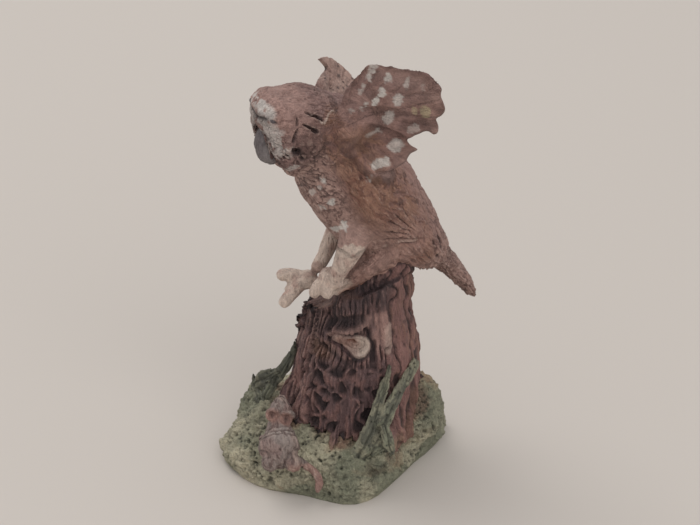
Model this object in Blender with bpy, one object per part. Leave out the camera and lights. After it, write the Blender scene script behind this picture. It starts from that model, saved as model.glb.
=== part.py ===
"""A painted clay miniature, about 40 mm tall: a tawny owl with raised wings on a stump above a mouse.

The owl faces -Y, its left side is +X and +Z is up. Every piece is shaped in millimetres from the named
sizes below, and scaled to metres once, at the end. The owl's core is modelled whole and parted with thin
cuts. What rests on a neighbour is cut by it and keeps the same thin gap.
"""

import math

import bmesh
import bpy
from mathutils import Matrix, Vector, noise

MILLIMETRE = 0.001  # metres in the unit that the pieces are shaped in
GAP = 0.2  # the thin cut between neighbouring pieces
ACROSS = Vector((1, 0, 0))  # the owl's sideways direction
UP = Vector((0, 0, 1))

# The ground: a lobed slab under a low hill. The outline is a radius at each 30 degrees, from BASE_TURN round.
BASE_CENTRE = Vector((-1.0, -0.6, 0))
BASE_OUTLINE = (9.0, 7.3, 7.1, 9.2, 9.8, 8.7, 9.3, 8.8, 8.8, 10.3, 9.4, 8.1)
BASE_TURN = math.radians(-15)
# The hill's rings, from the floor up: share of the outline's radius, and height.
HILL = ((0.97, 0), (1.0, 0.9), (0.98, 1.8), (0.93, 2.7), (0.85, 3.6), (0.76, 4.4), (0.62, 5.2), (0.3, 5.8))
HILL_LUMPS = (
    ((1.2, 5.2, 4.0), (3.2, 2.7, 3.3)),
    ((-2.0, -5.6, 3.0), (3.0, 2.4, 2.2)),
    ((-5.6, -5.2, 3.0), (2.6, 2.8, 2.4)),
)
HILL_ROUGHNESS = 0.35

# The stump: radius at each height. It leans back a little and its top is cut on a slope.
STUMP_FOOT = Vector((-0.5, 0.4, 3.0))
STUMP_HEAD = Vector((-0.5, 1.15, 21.0))
STUMP_RADII = (
    (6.6, 3.0), (6.1, 4.5), (5.7, 6.5), (5.5, 8.5), (5.4, 10.5),
    (5.0, 12.5), (4.5, 15.0), (4.2, 17.0), (4.4, 19.0), (4.4, 21.0),
)
ROOTS = 5
ROOT_DEPTH = 0.6
RIDGES = 15
RIDGE_DEPTH = 0.16
CUT_CENTRE = Vector((-0.5, 1.0, 16.7))
CUT_SLOPE = Vector((-0.33, -0.31, 1))
STUMP_TOP_LUMP = ((0.3, 2.6, 16.4), (2.9, 3.0, 2.3))
KNOT_CENTRE = Vector((4.0, -2.0, 13.4))
KNOT_FACING = Vector((0.86, -0.42, -0.02))
KNOT_RADII = (1.5, 0.95)
HOLLOW = ((3.0, -2.6, 15.6), (1.9, 1.7, 0.8))
NUB = ((-2.6, -3.0, 13.2), (-3.1, -3.9, 13.5), 0.55)

# Leaves standing round the stump: points from root to tip, half width at each, and the way they face.
LEAVES = {
    "leaf_tall": (
        ((5.7, 0.5, 3.2), (5.8, 1.1, 5.6), (5.3, 2.1, 8.2), (3.6, 4.4, 10.7)), (1.1, 1.15, 0.9, 0.35), (0.9, 0.2, 0.3),
    ),
    "leaf_slender": (
        ((5.9, -1.8, 3.2), (5.9, -0.6, 5.6), (5.4, 0.2, 8.4), (4.8, 1.1, 11.6)), (0.8, 0.85, 0.55, 0.3), (0.9, -0.2, 0.3),
    ),
    "leaf_drooping": (
        ((6.3, 0.6, 7.3), (6.8, 0.5, 6.3), (7.1, 0.45, 5.3), (7.2, 0.45, 4.5)), (0.45, 0.7, 0.6, 0.3), (0.9, 0, 0.4),
    ),
    "leaf_left": (
        ((-2.6, -6.2, 4.6), (-2.9, -5.8, 6.4), (-2.9, -5.1, 8.8), (-2.6, -4.2, 11.3)), (1.2, 1.15, 0.8, 0.35), (0.3, -0.9, 0.3),
    ),
    "leaf_spike": (
        ((-4.0, -6.0, 4.6), (-4.6, -6.3, 5.3), (-5.2, -6.4, 5.8), (-5.6, -6.4, 6.2)), (0.7, 0.6, 0.45, 0.3), (0.3, -0.6, 0.7),
    ),
}
LEAF_THICKNESS = 0.3

# The owl's core: (y, z), half width and half depth of each section, in its plane of symmetry.
HEAD_CENTRE = Vector((0, -4.7, 32.7))
HEAD_RADII = Vector((4.0, 3.6, 3.6))
FACE = (Vector((0, -6.3, 33.7)), Vector((3.5, 2.8, 1.7)), Vector((0, -0.93, -0.37)))
NAPE = (Vector((0, -1.6, 31.9)), Vector((3.4, 2.8, 2.7)))
CORE = (
    ((-3.4, 31.6), 3.7, 3.2),
    ((-2.0, 30.3), 3.8, 3.5),
    ((-0.7, 28.2), 4.1, 4.0),
    ((1.1, 25.7), 4.2, 4.3),
    ((3.0, 22.9), 4.0, 4.0),
    ((5.1, 20.8), 3.5, 3.1),
    ((7.0, 19.0), 2.7, 2.0),
)
TAIL = (((6.3, 19.6), 1.7, 1.5), ((8.3, 17.8), 1.9, 1.1), ((9.9, 15.8), 2.2, 0.75), ((11.1, 13.9), 1.9, 0.45))
NECK_CUT = (Vector((0, -2.7, 30.6)), Vector((0, -0.62, 0.78)))
TRUNK_CUT = (Vector((0, -1.5, 29.3)), Vector((0, -0.62, 0.78)))
TAIL_CUT = (Vector((0, 7.6, 18.2)), Vector((0, 0.62, -0.78)))
EYE = (Vector((2.0, -7.1, 34.7)), 0.8)
BEAK = ((0, -7.2, 33.3), (0, -7.6, 32.6), (0, -7.7, 31.8), (0, -7.3, 30.9), (0, -6.6, 30.2))
BEAK_RADII = (0.5, 0.75, 0.85, 0.75, 0.45)

# Each wing: feather roots run from the wrist down the arm to the flank, and tips run round the trailing edge.
LEFT_WING = (
    ((6.5, -1.1, 39.3), (5.0, -1.7, 36.3), (3.4, -1.4, 32.8), (3.2, 0.6, 29.0)),
    ((7.0, -0.3, 39.8), (8.5, 1.9, 39.4), (9.0, 3.9, 37.1), (8.1, 3.8, 34.8), (6.6, 2.8, 32.6), (5.3, 2.6, 30.4)),
)
RIGHT_WING = (
    ((-5.4, 0.3, 34.4), (-4.4, 0.0, 32.9), (-3.3, -0.7, 31.2), (-3.2, 0.7, 28.5)),
    ((-5.8, 1.1, 34.5), (-6.4, 2.6, 32.9), (-6.7, 4.2, 31.2), (-6.2, 4.8, 29.6), (-5.0, 4.5, 28.3), (-3.7, 3.8, 27.4)),
)
HOOK = (((-5.4, 0.5, 34.2), (-5.5, 0.5, 34.8), (-5.6, 0.1, 35.0)), (0.6, 0.42, 0.3))
FEATHERS = 9
FEATHER_HALF_WIDTH = 1.3
FEATHER_HALF_THICKNESS = 0.3
ARM_RADII = (0.5, 0.8, 1.3, 1.2)

# Legs and feet: points down each leg, then the toes from the instep.
LEFT_LEG = (((2.6, -0.4, 23.8), (2.9, -1.3, 22.2), (2.6, -1.9, 20.6), (2.3, -2.4, 19.2)), (1.5, 1.15, 0.8, 0.6))
RIGHT_LEG = (((-2.0, 0.2, 22.4), (-1.9, -0.7, 20.9), (-1.9, -1.3, 19.4), (-1.8, -2.2, 18.1)), (1.0, 0.75, 0.65, 0.6))
LEFT_INSTEP = (1.7, -2.6, 19.2)
LEFT_TOES = ((1.2, -3.8, 17.7), (2.2, -3.1, 18.0), (2.9, -2.2, 18.7))
RIGHT_INSTEP = (-1.9, -3.1, 17.1)
RIGHT_TOES = ((-3.2, -4.8, 17.3), (-2.2, -4.5, 16.3), (-1.2, -5.5, 15.9))
TOE_RADIUS = 0.55

# The mouse climbs the front of the hill towards the stump.
MOUSE_BODY = ((3.4, -8.1, 3.8), (2.8, -7.9, 4.2), (2.0, -7.5, 4.6), (1.0, -7.2, 5.3))
MOUSE_BODY_RADII = (1.3, 1.75, 1.5, 0.95)
MOUSE_HEAD = ((0.9, -7.0, 5.6), (0.3, -6.7, 6.0), (-0.3, -6.4, 6.4), (-0.8, -6.1, 6.7))
MOUSE_HEAD_RADII = (0.7, 1.0, 0.75, 0.4)
MOUSE_EARS = ((0.9, -7.6, 6.7), (1.4, -6.4, 6.4))
MOUSE_EAR_RADII = (0.65, 0.65, 0.3)
MOUSE_TAIL = ((3.6, -6.8, 3.4), (4.2, -6.2, 3.0), (5.0, -5.7, 2.7), (5.7, -5.5, 2.1), (6.0, -5.8, 1.4))
MOUSE_TAIL_RADII = (0.4, 0.35, 0.33, 0.3, 0.28)

# Paint: a colour, and how rough it dries.
PAINTS = {
    "owl": ((0.150, 0.085, 0.068), 0.75),
    "face": ((0.300, 0.250, 0.230), 0.75),
    "beak": ((0.110, 0.090, 0.090), 0.5),
    "eye": ((0.012, 0.010, 0.010), 0.2),
    "feet": ((0.330, 0.230, 0.190), 0.75),
    "bark": ((0.055, 0.033, 0.030), 0.8),
    "knot": ((0.170, 0.105, 0.090), 0.75),
    "moss": ((0.150, 0.140, 0.085), 0.85),
    "leaf": ((0.065, 0.070, 0.050), 0.75),
    "mouse": ((0.200, 0.160, 0.140), 0.75),
}


def curve_through(points, steps):
    """Points of a Catmull-Rom curve through vectors of any length."""
    ends = [points[0] * 2 - points[1], *points, points[-1] * 2 - points[-2]]
    line = []
    for a, b, c, d in zip(ends, ends[1:], ends[2:], ends[3:]):
        for i in range(steps):
            t = i / steps
            bend = (a * 2 - b * 5 + c * 4 - d) * t * t + (b * 3 - a - c * 3 + d) * t**3
            line.append((b * 2 + (c - a) * t + bend) / 2)
    return [*line, points[-1]]


def loft(bm, stations, across=ACROSS, segments=16):
    """Extrudes an elliptic ring along stations of (centre, half width, half depth), and closes both ends."""
    centres = [s[0] for s in stations]
    frames = []
    for i, (centre, width, depth) in enumerate(stations):
        along = (centres[min(i + 1, len(centres) - 1)] - centres[max(i - 1, 0)]).normalized()
        side = (across - along * across.dot(along)).normalized()
        turn = Matrix((side, along.cross(side), along)).transposed().to_4x4()
        frames.append(Matrix.Translation(centre) @ turn @ Matrix.Diagonal((width, depth, 1, 1)))
    start = bmesh.ops.create_circle(bm, cap_ends=True, segments=segments, radius=1, matrix=frames[0])
    ring = list({e for v in start["verts"] for e in v.link_edges})
    for before, after in zip(frames, frames[1:]):
        made = bmesh.ops.extrude_edge_only(bm, edges=ring)["geom"]
        fresh = {v for v in made if isinstance(v, bmesh.types.BMVert)}
        bmesh.ops.transform(bm, matrix=after @ before.inverted(), verts=list(fresh))
        ring = [e for e in made if isinstance(e, bmesh.types.BMEdge) and set(e.verts) <= fresh]
    bmesh.ops.contextual_create(bm, geom=ring)


def limb(bm, points, widths, depths=None, across=ACROSS, steps=4, segments=14, blunt=0.7):
    """A round-ended loft along a smooth curve through points, which may be flatter than it is wide."""
    rows = [Vector((*p, w, d)) for p, w, d in zip(points, widths, depths or widths)]
    stations = [(Vector(r[:3]), r[3], r[4]) for r in curve_through(rows, steps)]
    for end, inner in ((0, 1), (-1, -2)):
        centre, width, depth = stations[end]
        out = (centre - stations[inner][0]).normalized() * min(width, depth) * blunt
        turns = [math.radians(a) for a in (30, 58, 80)]
        caps = [(centre + out * math.sin(a), width * math.cos(a), depth * math.cos(a)) for a in turns]
        stations = [*reversed(caps), *stations] if end == 0 else [*stations, *caps]
    loft(bm, stations, across, segments)


def egg(bm, centre, radii, turn=Matrix.Identity(4)):
    """An ellipsoid: a lump of clay."""
    place = Matrix.Translation(Vector(centre)) @ turn @ Matrix.Diagonal((*radii, 1))
    bmesh.ops.create_icosphere(bm, subdivisions=3, radius=1, matrix=place)


def facing(direction):
    """The turn that carries +Z to a direction."""
    return Vector(direction).to_track_quat("Z", "Y").to_matrix().to_4x4()


def apply_modifiers(obj):
    shaped = bpy.data.meshes.new_from_object(obj.evaluated_get(bpy.context.evaluated_depsgraph_get()))
    obj.modifiers.clear()
    obj.data = shaped


def new_object(name, bm):
    bmesh.ops.recalc_face_normals(bm, faces=bm.faces)
    mesh = bpy.data.meshes.new(name)
    bm.to_mesh(mesh)
    bm.free()
    obj = bpy.data.objects.new(name, mesh)
    bpy.context.scene.collection.objects.link(obj)
    return obj


def clay(name, bm, grain, triangles, smoothing=2):
    """Presses overlapping lumps into one closed body, thumbs it smooth and leaves it with about so many triangles."""
    obj = new_object(name, bm)
    press = obj.modifiers.new("press", "REMESH")
    press.mode = "VOXEL"
    press.voxel_size = grain
    thumb = obj.modifiers.new("thumb", "SMOOTH")
    thumb.factor = 0.5
    thumb.iterations = smoothing
    apply_modifiers(obj)
    facets = obj.modifiers.new("facets", "DECIMATE")
    facets.ratio = min(1.0, triangles / (2 * len(obj.data.polygons)))
    apply_modifiers(obj)
    return obj


def halves(obj, name, cut):
    """Parts obj at the plane cut = (point, normal), GAP wide. The side the normal points to becomes a new object."""
    point, normal = cut
    normal = normal.normalized()
    sides = []
    for towards in (1, -1):
        bm = bmesh.new()
        bm.from_mesh(obj.data)
        everything = [*bm.verts, *bm.edges, *bm.faces]
        plane = point + normal * towards * GAP / 2
        bmesh.ops.bisect_plane(
            bm, geom=everything, dist=1e-5, plane_co=plane, plane_no=normal * towards, clear_inner=True
        )
        bmesh.ops.holes_fill(bm, edges=[e for e in bm.edges if e.is_boundary], sides=0)
        sides.append(bm)
    made = new_object(name, sides[0])
    bmesh.ops.recalc_face_normals(sides[1], faces=sides[1].faces)
    sides[1].to_mesh(obj.data)
    sides[1].free()
    return made


def keep_main_body(mesh):
    """Deletes all but the largest of the mesh's separate bodies."""
    bm = bmesh.new()
    bm.from_mesh(mesh)
    loose = set(bm.verts)
    bodies = []
    while loose:
        body, edge = set(), [loose.pop()]
        while edge:
            vert = edge.pop()
            body.add(vert)
            near = {e.other_vert(vert) for e in vert.link_edges} & loose
            loose -= near
            edge.extend(near)
        bodies.append(body)
    bodies.sort(key=len)
    for body in bodies[:-1]:
        bmesh.ops.delete(bm, geom=list(body), context="VERTS")
    bm.to_mesh(mesh)
    bm.free()


def carve(obj, cutter):
    """Cuts the closed cutter out of obj, and throws the cutter away."""
    cut = obj.modifiers.new("cut", "BOOLEAN")
    cut.operation = "DIFFERENCE"
    cut.object = cutter
    apply_modifiers(obj)
    bpy.data.objects.remove(cutter)
    return obj


def set_against(obj, *neighbours):
    """Cuts away what obj shares with its neighbours, and the gap round them."""
    for other in neighbours:
        mould = other.copy()
        mould.data = other.data.copy()
        bpy.context.scene.collection.objects.link(mould)
        normals = [v.normal.copy() for v in mould.data.vertices]
        for vert, normal in zip(mould.data.vertices, normals):
            vert.co += normal * GAP
        carve(obj, mould)
    keep_main_body(obj.data)
    return obj


def base_radius(angle):
    """The ground's outline, smooth through its radii."""
    count = len(BASE_OUTLINE)
    place = (angle - BASE_TURN) / math.tau * count % count
    i, t = int(place), place % 1
    a, b, c, d = (BASE_OUTLINE[(i + k) % count] for k in (-1, 0, 1, 2))
    return b + 0.5 * t * (c - a + t * (2 * a - 5 * b + 4 * c - d + t * (3 * (b - c) + d - a)))


def ringed(bm, rings, place, segments):
    """A closed body of rings: place(share, height, angle) gives each point."""
    start = bmesh.ops.create_circle(bm, cap_ends=True, segments=segments, radius=1)
    row = start["verts"]
    edges = list({e for v in row for e in v.link_edges})
    angles = {v: math.atan2(v.co.y, v.co.x) for v in row}
    for share, height in rings:
        if (share, height) != rings[0]:
            made = bmesh.ops.extrude_edge_only(bm, edges=edges)["geom"]
            fresh = [v for v in made if isinstance(v, bmesh.types.BMVert)]
            lower = {v: next(e.other_vert(v) for e in v.link_edges if e.other_vert(v) in angles) for v in fresh}
            edges = [e for e in made if isinstance(e, bmesh.types.BMEdge) and set(e.verts) <= set(fresh)]
            angles = {v: angles[lower[v]] for v in fresh}
            row = fresh
        for v in row:
            v.co = place(share, height, angles[v])
    bmesh.ops.contextual_create(bm, geom=edges)


def make_ground():
    bm = bmesh.new()

    def place(share, height, angle):
        reach = base_radius(angle) * share
        lump = noise.noise(Vector((math.cos(angle), math.sin(angle), height * 0.4)) * 1.6) * HILL_ROUGHNESS
        reach += lump if height else 0
        return BASE_CENTRE + Vector((math.cos(angle) * reach, math.sin(angle) * reach, height + lump * share))

    ringed(bm, HILL, place, 48)
    for centre, radii in HILL_LUMPS:
        egg(bm, centre, radii)
    ground = clay("ground", bm, 0.35, 850, 4)
    flat = bmesh.new()
    flat.from_mesh(ground.data)
    bmesh.ops.bisect_plane(
        flat, geom=[*flat.verts, *flat.edges, *flat.faces], dist=1e-5,
        plane_co=(0, 0, 0.15), plane_no=UP, clear_inner=True,
    )
    bmesh.ops.holes_fill(flat, edges=[e for e in flat.edges if e.is_boundary], sides=0)
    bmesh.ops.translate(flat, verts=flat.verts, vec=(0, 0, -0.15))
    flat.to_mesh(ground.data)
    flat.free()
    return ground


def stump_radius(height, angle, radius):
    foot = max(0.0, 1 - (height - STUMP_FOOT.z) / 5)
    roots = ROOT_DEPTH * foot * math.cos(ROOTS * angle + 0.6)
    ridges = RIDGE_DEPTH * math.cos(RIDGES * angle + math.sin(height * 0.35) * 1.3)
    return radius + roots + ridges


def make_stump():
    bm = bmesh.new()

    def place(radius, height, angle):
        share = (height - STUMP_FOOT.z) / (STUMP_HEAD.z - STUMP_FOOT.z)
        reach = stump_radius(height, angle, radius)
        middle = STUMP_FOOT.lerp(STUMP_HEAD, share)
        return middle + Vector((math.cos(angle) * reach, math.sin(angle) * reach, 0))

    rings = [tuple(r) for r in curve_through([Vector(r) for r in STUMP_RADII], 2)]
    ringed(bm, rings, place, 60)
    bmesh.ops.bisect_plane(
        bm, geom=[*bm.verts, *bm.edges, *bm.faces], dist=1e-5,
        plane_co=CUT_CENTRE, plane_no=CUT_SLOPE, clear_outer=True,
    )
    bmesh.ops.holes_fill(bm, edges=[e for e in bm.edges if e.is_boundary], sides=0)
    egg(bm, *STUMP_TOP_LUMP)
    stump = clay("stump", bm, 0.3, 950, 1)
    hollow = bmesh.new()
    egg(hollow, *HOLLOW)
    return carve(stump, new_object("hollow", hollow))


def make_knot():
    """The end grain of a lost branch, plugged into the stump."""
    bm = bmesh.new()
    inner = KNOT_CENTRE - KNOT_FACING * 1.6
    outer = KNOT_CENTRE + KNOT_FACING * 0.5
    limb(bm, (inner, outer), (KNOT_RADII[0],) * 2, (KNOT_RADII[1],) * 2, KNOT_FACING.cross(UP), blunt=0.35)
    return clay("stump_knot", bm, 0.2, 150)


def make_nub():
    bm = bmesh.new()
    inner, outer, radius = NUB
    limb(bm, (inner, outer), (radius, radius * 0.8))
    return clay("stump_nub", bm, 0.2, 90)


def make_leaf(name):
    points, half_widths, outward = LEAVES[name]
    bm = bmesh.new()
    along = Vector(points[-1]) - Vector(points[0])
    limb(bm, points, half_widths, [LEAF_THICKNESS] * 4, along.cross(outward), blunt=0.5)
    return clay(name, bm, 0.17, 120, 1)


def make_core():
    bm = bmesh.new()
    line = curve_through([Vector((0, y, z, w, d)) for (y, z), w, d in CORE], 4)
    limb(bm, [Vector(r[:3]) for r in line], [r[3] for r in line], [r[4] for r in line], steps=1, segments=32)
    limb(bm, [Vector((0, *p)) for p, _, _ in TAIL], [w for _, w, _ in TAIL], [d for _, _, d in TAIL], segments=20)
    egg(bm, HEAD_CENTRE, HEAD_RADII)
    egg(bm, *NAPE)
    centre, radii, outward = FACE
    egg(bm, centre, radii, facing(outward))
    return clay("owl_trunk", bm, 0.3, 1350, 4)


def make_beak():
    bm = bmesh.new()
    limb(bm, BEAK, BEAK_RADII)
    return clay("owl_beak", bm, 0.16, 150)


def make_eye(side):
    bm = bmesh.new()
    centre, radius = EYE
    egg(bm, (centre.x * side, centre.y, centre.z), (radius,) * 3)
    return clay("owl_eye_left" if side > 0 else "owl_eye_right", bm, 0.16, 96, 1)


def make_wing(name, wing):
    """A fan of flat feathers from wrist to flank, pressed onto the arm."""
    roots, tips = [[Vector(p) for p in row] for row in wing]
    bm = bmesh.new()
    limb(bm, roots, ARM_RADII, [r * 0.6 for r in ARM_RADII], roots[0] - tips[2], segments=16)
    root_line, tip_line = curve_through(roots, 8), curve_through(tips, 8)
    normal = (roots[0] - roots[2]).cross(tips[2] - roots[2]).normalized()
    for i in range(FEATHERS):
        share = i / (FEATHERS - 1)
        root = root_line[round(share * (len(root_line) - 1))]
        tip = tip_line[round(share * (len(tip_line) - 1))]
        middle = root.lerp(tip, 0.55)
        wide = FEATHER_HALF_WIDTH
        across = normal.cross(tip - root)
        slant = Matrix.Rotation(math.radians(9), 3, (tip - root).normalized())
        limb(bm, (root, middle, tip), (wide, wide, wide * 0.85), (FEATHER_HALF_THICKNESS,) * 3, slant @ across)
    if name == "owl_wing_right":
        limb(bm, *HOOK)
    return clay(name, bm, 0.2, 560, 1)


def make_leg(name, leg):
    bm = bmesh.new()
    limb(bm, *leg)
    return clay(name, bm, 0.22, 150)


def make_foot(name, instep, toes):
    bm = bmesh.new()
    egg(bm, instep, (0.95, 0.95, 0.75))
    for toe in toes:
        middle = Vector(instep).lerp(Vector(toe), 0.5) + UP * 0.2
        limb(bm, (instep, middle, toe), (TOE_RADIUS, TOE_RADIUS, TOE_RADIUS * 0.95), blunt=0.95)
    return clay(name, bm, 0.18, 260, 1)


def make_mouse():
    """Pressed together in one: body, head, ears and tail."""
    bm = bmesh.new()
    limb(bm, MOUSE_BODY, MOUSE_BODY_RADII, across=UP)
    limb(bm, MOUSE_HEAD, MOUSE_HEAD_RADII, across=UP)
    limb(bm, MOUSE_TAIL, MOUSE_TAIL_RADII, across=UP)
    back = facing(Vector(MOUSE_HEAD[0]) - Vector(MOUSE_HEAD[-1]))
    for place in MOUSE_EARS:
        egg(bm, place, MOUSE_EAR_RADII, back)
    return clay("mouse", bm, 0.16, 600, 1)


def paint(obj, name):
    """Gives obj its own coat of a named paint."""
    colour, roughness = PAINTS[name]
    coat = bpy.data.materials.new(f"{obj.name}_paint")
    coat.use_nodes = True
    shader = coat.node_tree.nodes["Principled BSDF"]
    shader.inputs["Base Color"].default_value = (*colour, 1)
    shader.inputs["Roughness"].default_value = roughness
    coat.diffuse_color = (*colour, 1)
    obj.data.materials.clear()
    obj.data.materials.append(coat)


def paint_name(name):
    for start, paint_used in (
        ("owl_beak", "beak"), ("owl_eye", "eye"), ("owl_foot", "feet"), ("owl_leg", "feet"), ("owl", "owl"),
        ("stump_knot", "knot"), ("stump", "bark"), ("leaf", "leaf"), ("ground", "moss"),
        ("mouse", "mouse"),
    ):
        if name.startswith(start):
            return paint_used


def clear_scene():
    for obj in list(bpy.data.objects):
        bpy.data.objects.remove(obj)


def centre_over_origin(pieces):
    """Moves all the pieces so that the middle of their outline, seen from above, is the origin."""
    corners = [v.co for obj in pieces for v in obj.data.vertices]
    low, high = (Vector([pick(c[i] for c in corners) for i in (0, 1)] + [0]) for pick in (min, max))
    for obj in pieces:
        obj.data.transform(Matrix.Translation(-(low + high) / 2))


def build_stand():
    ground, knot, nub = make_ground(), make_knot(), make_nub()
    stump = set_against(make_stump(), ground, knot, nub)
    rooted = [ground, stump]
    for name in LEAVES:
        rooted.append(set_against(make_leaf(name), *rooted))
    return ground, stump


def build_owl(stump):
    trunk = make_core()
    head = halves(trunk, "owl_head", NECK_CUT)
    neck = halves(trunk, "owl_neck", TRUNK_CUT)
    halves(trunk, "owl_tail", TAIL_CUT)
    set_against(trunk, stump)
    set_against(head, make_beak(), make_eye(1), make_eye(-1))
    for name, wing in (("owl_wing_left", LEFT_WING), ("owl_wing_right", RIGHT_WING)):
        set_against(make_wing(name, wing), head, neck, trunk)
    for side, leg, instep, toes in (
        ("left", LEFT_LEG, LEFT_INSTEP, LEFT_TOES),
        ("right", RIGHT_LEG, RIGHT_INSTEP, RIGHT_TOES),
    ):
        shank = set_against(make_leg(f"owl_leg_{side}", leg), trunk, stump)
        set_against(make_foot(f"owl_foot_{side}", instep, toes), shank, stump, trunk)


def main():
    clear_scene()
    ground, stump = build_stand()
    set_against(make_mouse(), ground)
    build_owl(stump)
    pieces = list(bpy.data.objects)
    for obj in pieces:
        paint(obj, paint_name(obj.name))
        obj.data.transform(Matrix.Scale(MILLIMETRE, 4))
    centre_over_origin(pieces)


main()
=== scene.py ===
"""The looks of a small painted clay model: an owl with raised wings on a tree stump, above a mouse.

Shapes are modelled in millimetres, in the frame's own axes: the owl faces -Y, its left side is +X and +Z is up.
Places are percentages of the boxes of the frame's nodes. Each body of clay is pressed together from lumps, thumbed
smooth and tooled: its points move along their normals. Its paint is brushed on over the same marks.
"""
import math
from functools import partial, reduce

import bmesh
import bpy
import numpy as np
from mathutils import Matrix, Vector, noise
from mathutils.bvhtree import BVHTree


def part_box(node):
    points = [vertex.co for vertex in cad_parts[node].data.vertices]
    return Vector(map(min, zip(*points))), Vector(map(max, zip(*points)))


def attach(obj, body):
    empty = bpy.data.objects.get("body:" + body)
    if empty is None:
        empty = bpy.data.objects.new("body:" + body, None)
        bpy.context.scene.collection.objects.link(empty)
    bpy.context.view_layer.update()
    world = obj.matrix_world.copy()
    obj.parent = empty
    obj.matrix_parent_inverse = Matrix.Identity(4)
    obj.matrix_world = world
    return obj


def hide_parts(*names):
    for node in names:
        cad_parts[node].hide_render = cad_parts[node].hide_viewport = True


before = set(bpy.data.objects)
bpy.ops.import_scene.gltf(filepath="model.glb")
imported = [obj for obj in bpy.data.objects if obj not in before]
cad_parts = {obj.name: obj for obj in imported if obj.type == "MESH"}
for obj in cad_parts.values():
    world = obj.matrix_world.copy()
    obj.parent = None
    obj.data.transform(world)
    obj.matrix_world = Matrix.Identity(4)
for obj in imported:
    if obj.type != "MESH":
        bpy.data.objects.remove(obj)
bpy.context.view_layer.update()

MILLIMETRE = 0.001  # metres in the unit that the pieces are shaped in
SWELL = 0.11  # how far a node's copy is swollen, which closes the thin cuts between the frame's nodes
SHRINK = 0.6  # the share of the swelling that is taken back once the lumps are one
GRAIN = 0.1  # spacing of the finest marks
FAR = 1e9
ACROSS = Vector((1, 0, 0))
UP = Vector((0, 0, 1))


# ---- Shaping ----------------------------------------------------------------------------------------------

def inside(node, x, y, z, mirrored=False):
    """A point x, y and z percent along a node's box, in millimetres, or its mirror image across the box's middle."""
    shares = (1 - x / 100 if mirrored else x / 100, y / 100, z / 100)
    return Vector([a + (b - a) * share for a, b, share in zip(*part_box(node), shares)]) / MILLIMETRE


def trace(node, places, mirrored=False):
    return [inside(node, *place, mirrored) for place in places]


def curve_through(points, steps):
    """Points of a Catmull-Rom curve through vectors of any length."""
    ends = [points[0] * 2 - points[1], *points, points[-1] * 2 - points[-2]]
    line = []
    for a, b, c, d in zip(ends, ends[1:], ends[2:], ends[3:]):
        for i in range(steps):
            t = i / steps
            bend = (a * 2 - b * 5 + c * 4 - d) * t * t + (b * 3 - a - c * 3 + d) * t**3
            line.append((b * 2 + (c - a) * t + bend) / 2)
    return [*line, points[-1]]


def loft(bm, stations, across=ACROSS, segments=16):
    """Extrudes an elliptic ring along stations of (centre, half width, half depth), and closes both ends."""
    centres = [s[0] for s in stations]
    frames = []
    for i, (centre, width, depth) in enumerate(stations):
        along = (centres[min(i + 1, len(centres) - 1)] - centres[max(i - 1, 0)]).normalized()
        side = (across - along * across.dot(along)).normalized()
        turn = Matrix((side, along.cross(side), along)).transposed().to_4x4()
        frames.append(Matrix.Translation(centre) @ turn @ Matrix.Diagonal((width, depth, 1, 1)))
    start = bmesh.ops.create_circle(bm, cap_ends=True, segments=segments, radius=1, matrix=frames[0])
    ring = list({e for v in start["verts"] for e in v.link_edges})
    for before, after in zip(frames, frames[1:]):
        made = bmesh.ops.extrude_edge_only(bm, edges=ring)["geom"]
        fresh = {v for v in made if isinstance(v, bmesh.types.BMVert)}
        bmesh.ops.transform(bm, matrix=after @ before.inverted(), verts=list(fresh))
        ring = [e for e in made if isinstance(e, bmesh.types.BMEdge) and set(e.verts) <= fresh]
    bmesh.ops.contextual_create(bm, geom=ring)


def limb(bm, points, widths, depths=None, across=ACROSS, steps=4, segments=14, blunt=0.7):
    """A round-ended loft along a smooth curve through points, which may be flatter than it is wide."""
    rows = [Vector((*p, w, d)) for p, w, d in zip(points, widths, depths or widths)]
    stations = [(Vector(r[:3]), r[3], r[4]) for r in curve_through(rows, steps)]
    for end, inner in ((0, 1), (-1, -2)):
        centre, width, depth = stations[end]
        out = (centre - stations[inner][0]).normalized() * min(width, depth) * blunt
        turns = [math.radians(a) for a in (30, 58, 80)]
        caps = [(centre + out * math.sin(a), width * math.cos(a), depth * math.cos(a)) for a in turns]
        stations = [*reversed(caps), *stations] if end == 0 else [*stations, *caps]
    loft(bm, stations, across, segments)


def plate(bm, outline, normal, thickness):
    """A flat lump whose edge follows a smooth closed line through the outline's points."""
    line = curve_through([outline[-1], *outline, outline[0], outline[1]], 4)[4:-5]
    made = bmesh.ops.create_circle(bm, cap_ends=True, segments=len(line), radius=1)
    for vert, place in zip(made["verts"], line):
        vert.co = place - normal * thickness / 2
    rim = list({edge for vert in made["verts"] for edge in vert.link_edges})
    face = list({face for vert in made["verts"] for face in vert.link_faces})
    grown = bmesh.ops.extrude_face_region(bm, geom=[*face, *rim])["geom"]
    bmesh.ops.translate(bm, vec=normal * thickness, verts=[v for v in grown if isinstance(v, bmesh.types.BMVert)])


def egg(bm, centre, radii, turn=Matrix.Identity(4)):
    """An ellipsoid: a lump of clay."""
    place = Matrix.Translation(Vector(centre)) @ turn @ Matrix.Diagonal((*radii, 1))
    bmesh.ops.create_icosphere(bm, subdivisions=3, radius=1, matrix=place)


def facing(direction):
    """The turn that carries +Z to a direction."""
    return Vector(direction).to_track_quat("Z", "Y").to_matrix().to_4x4()


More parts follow.
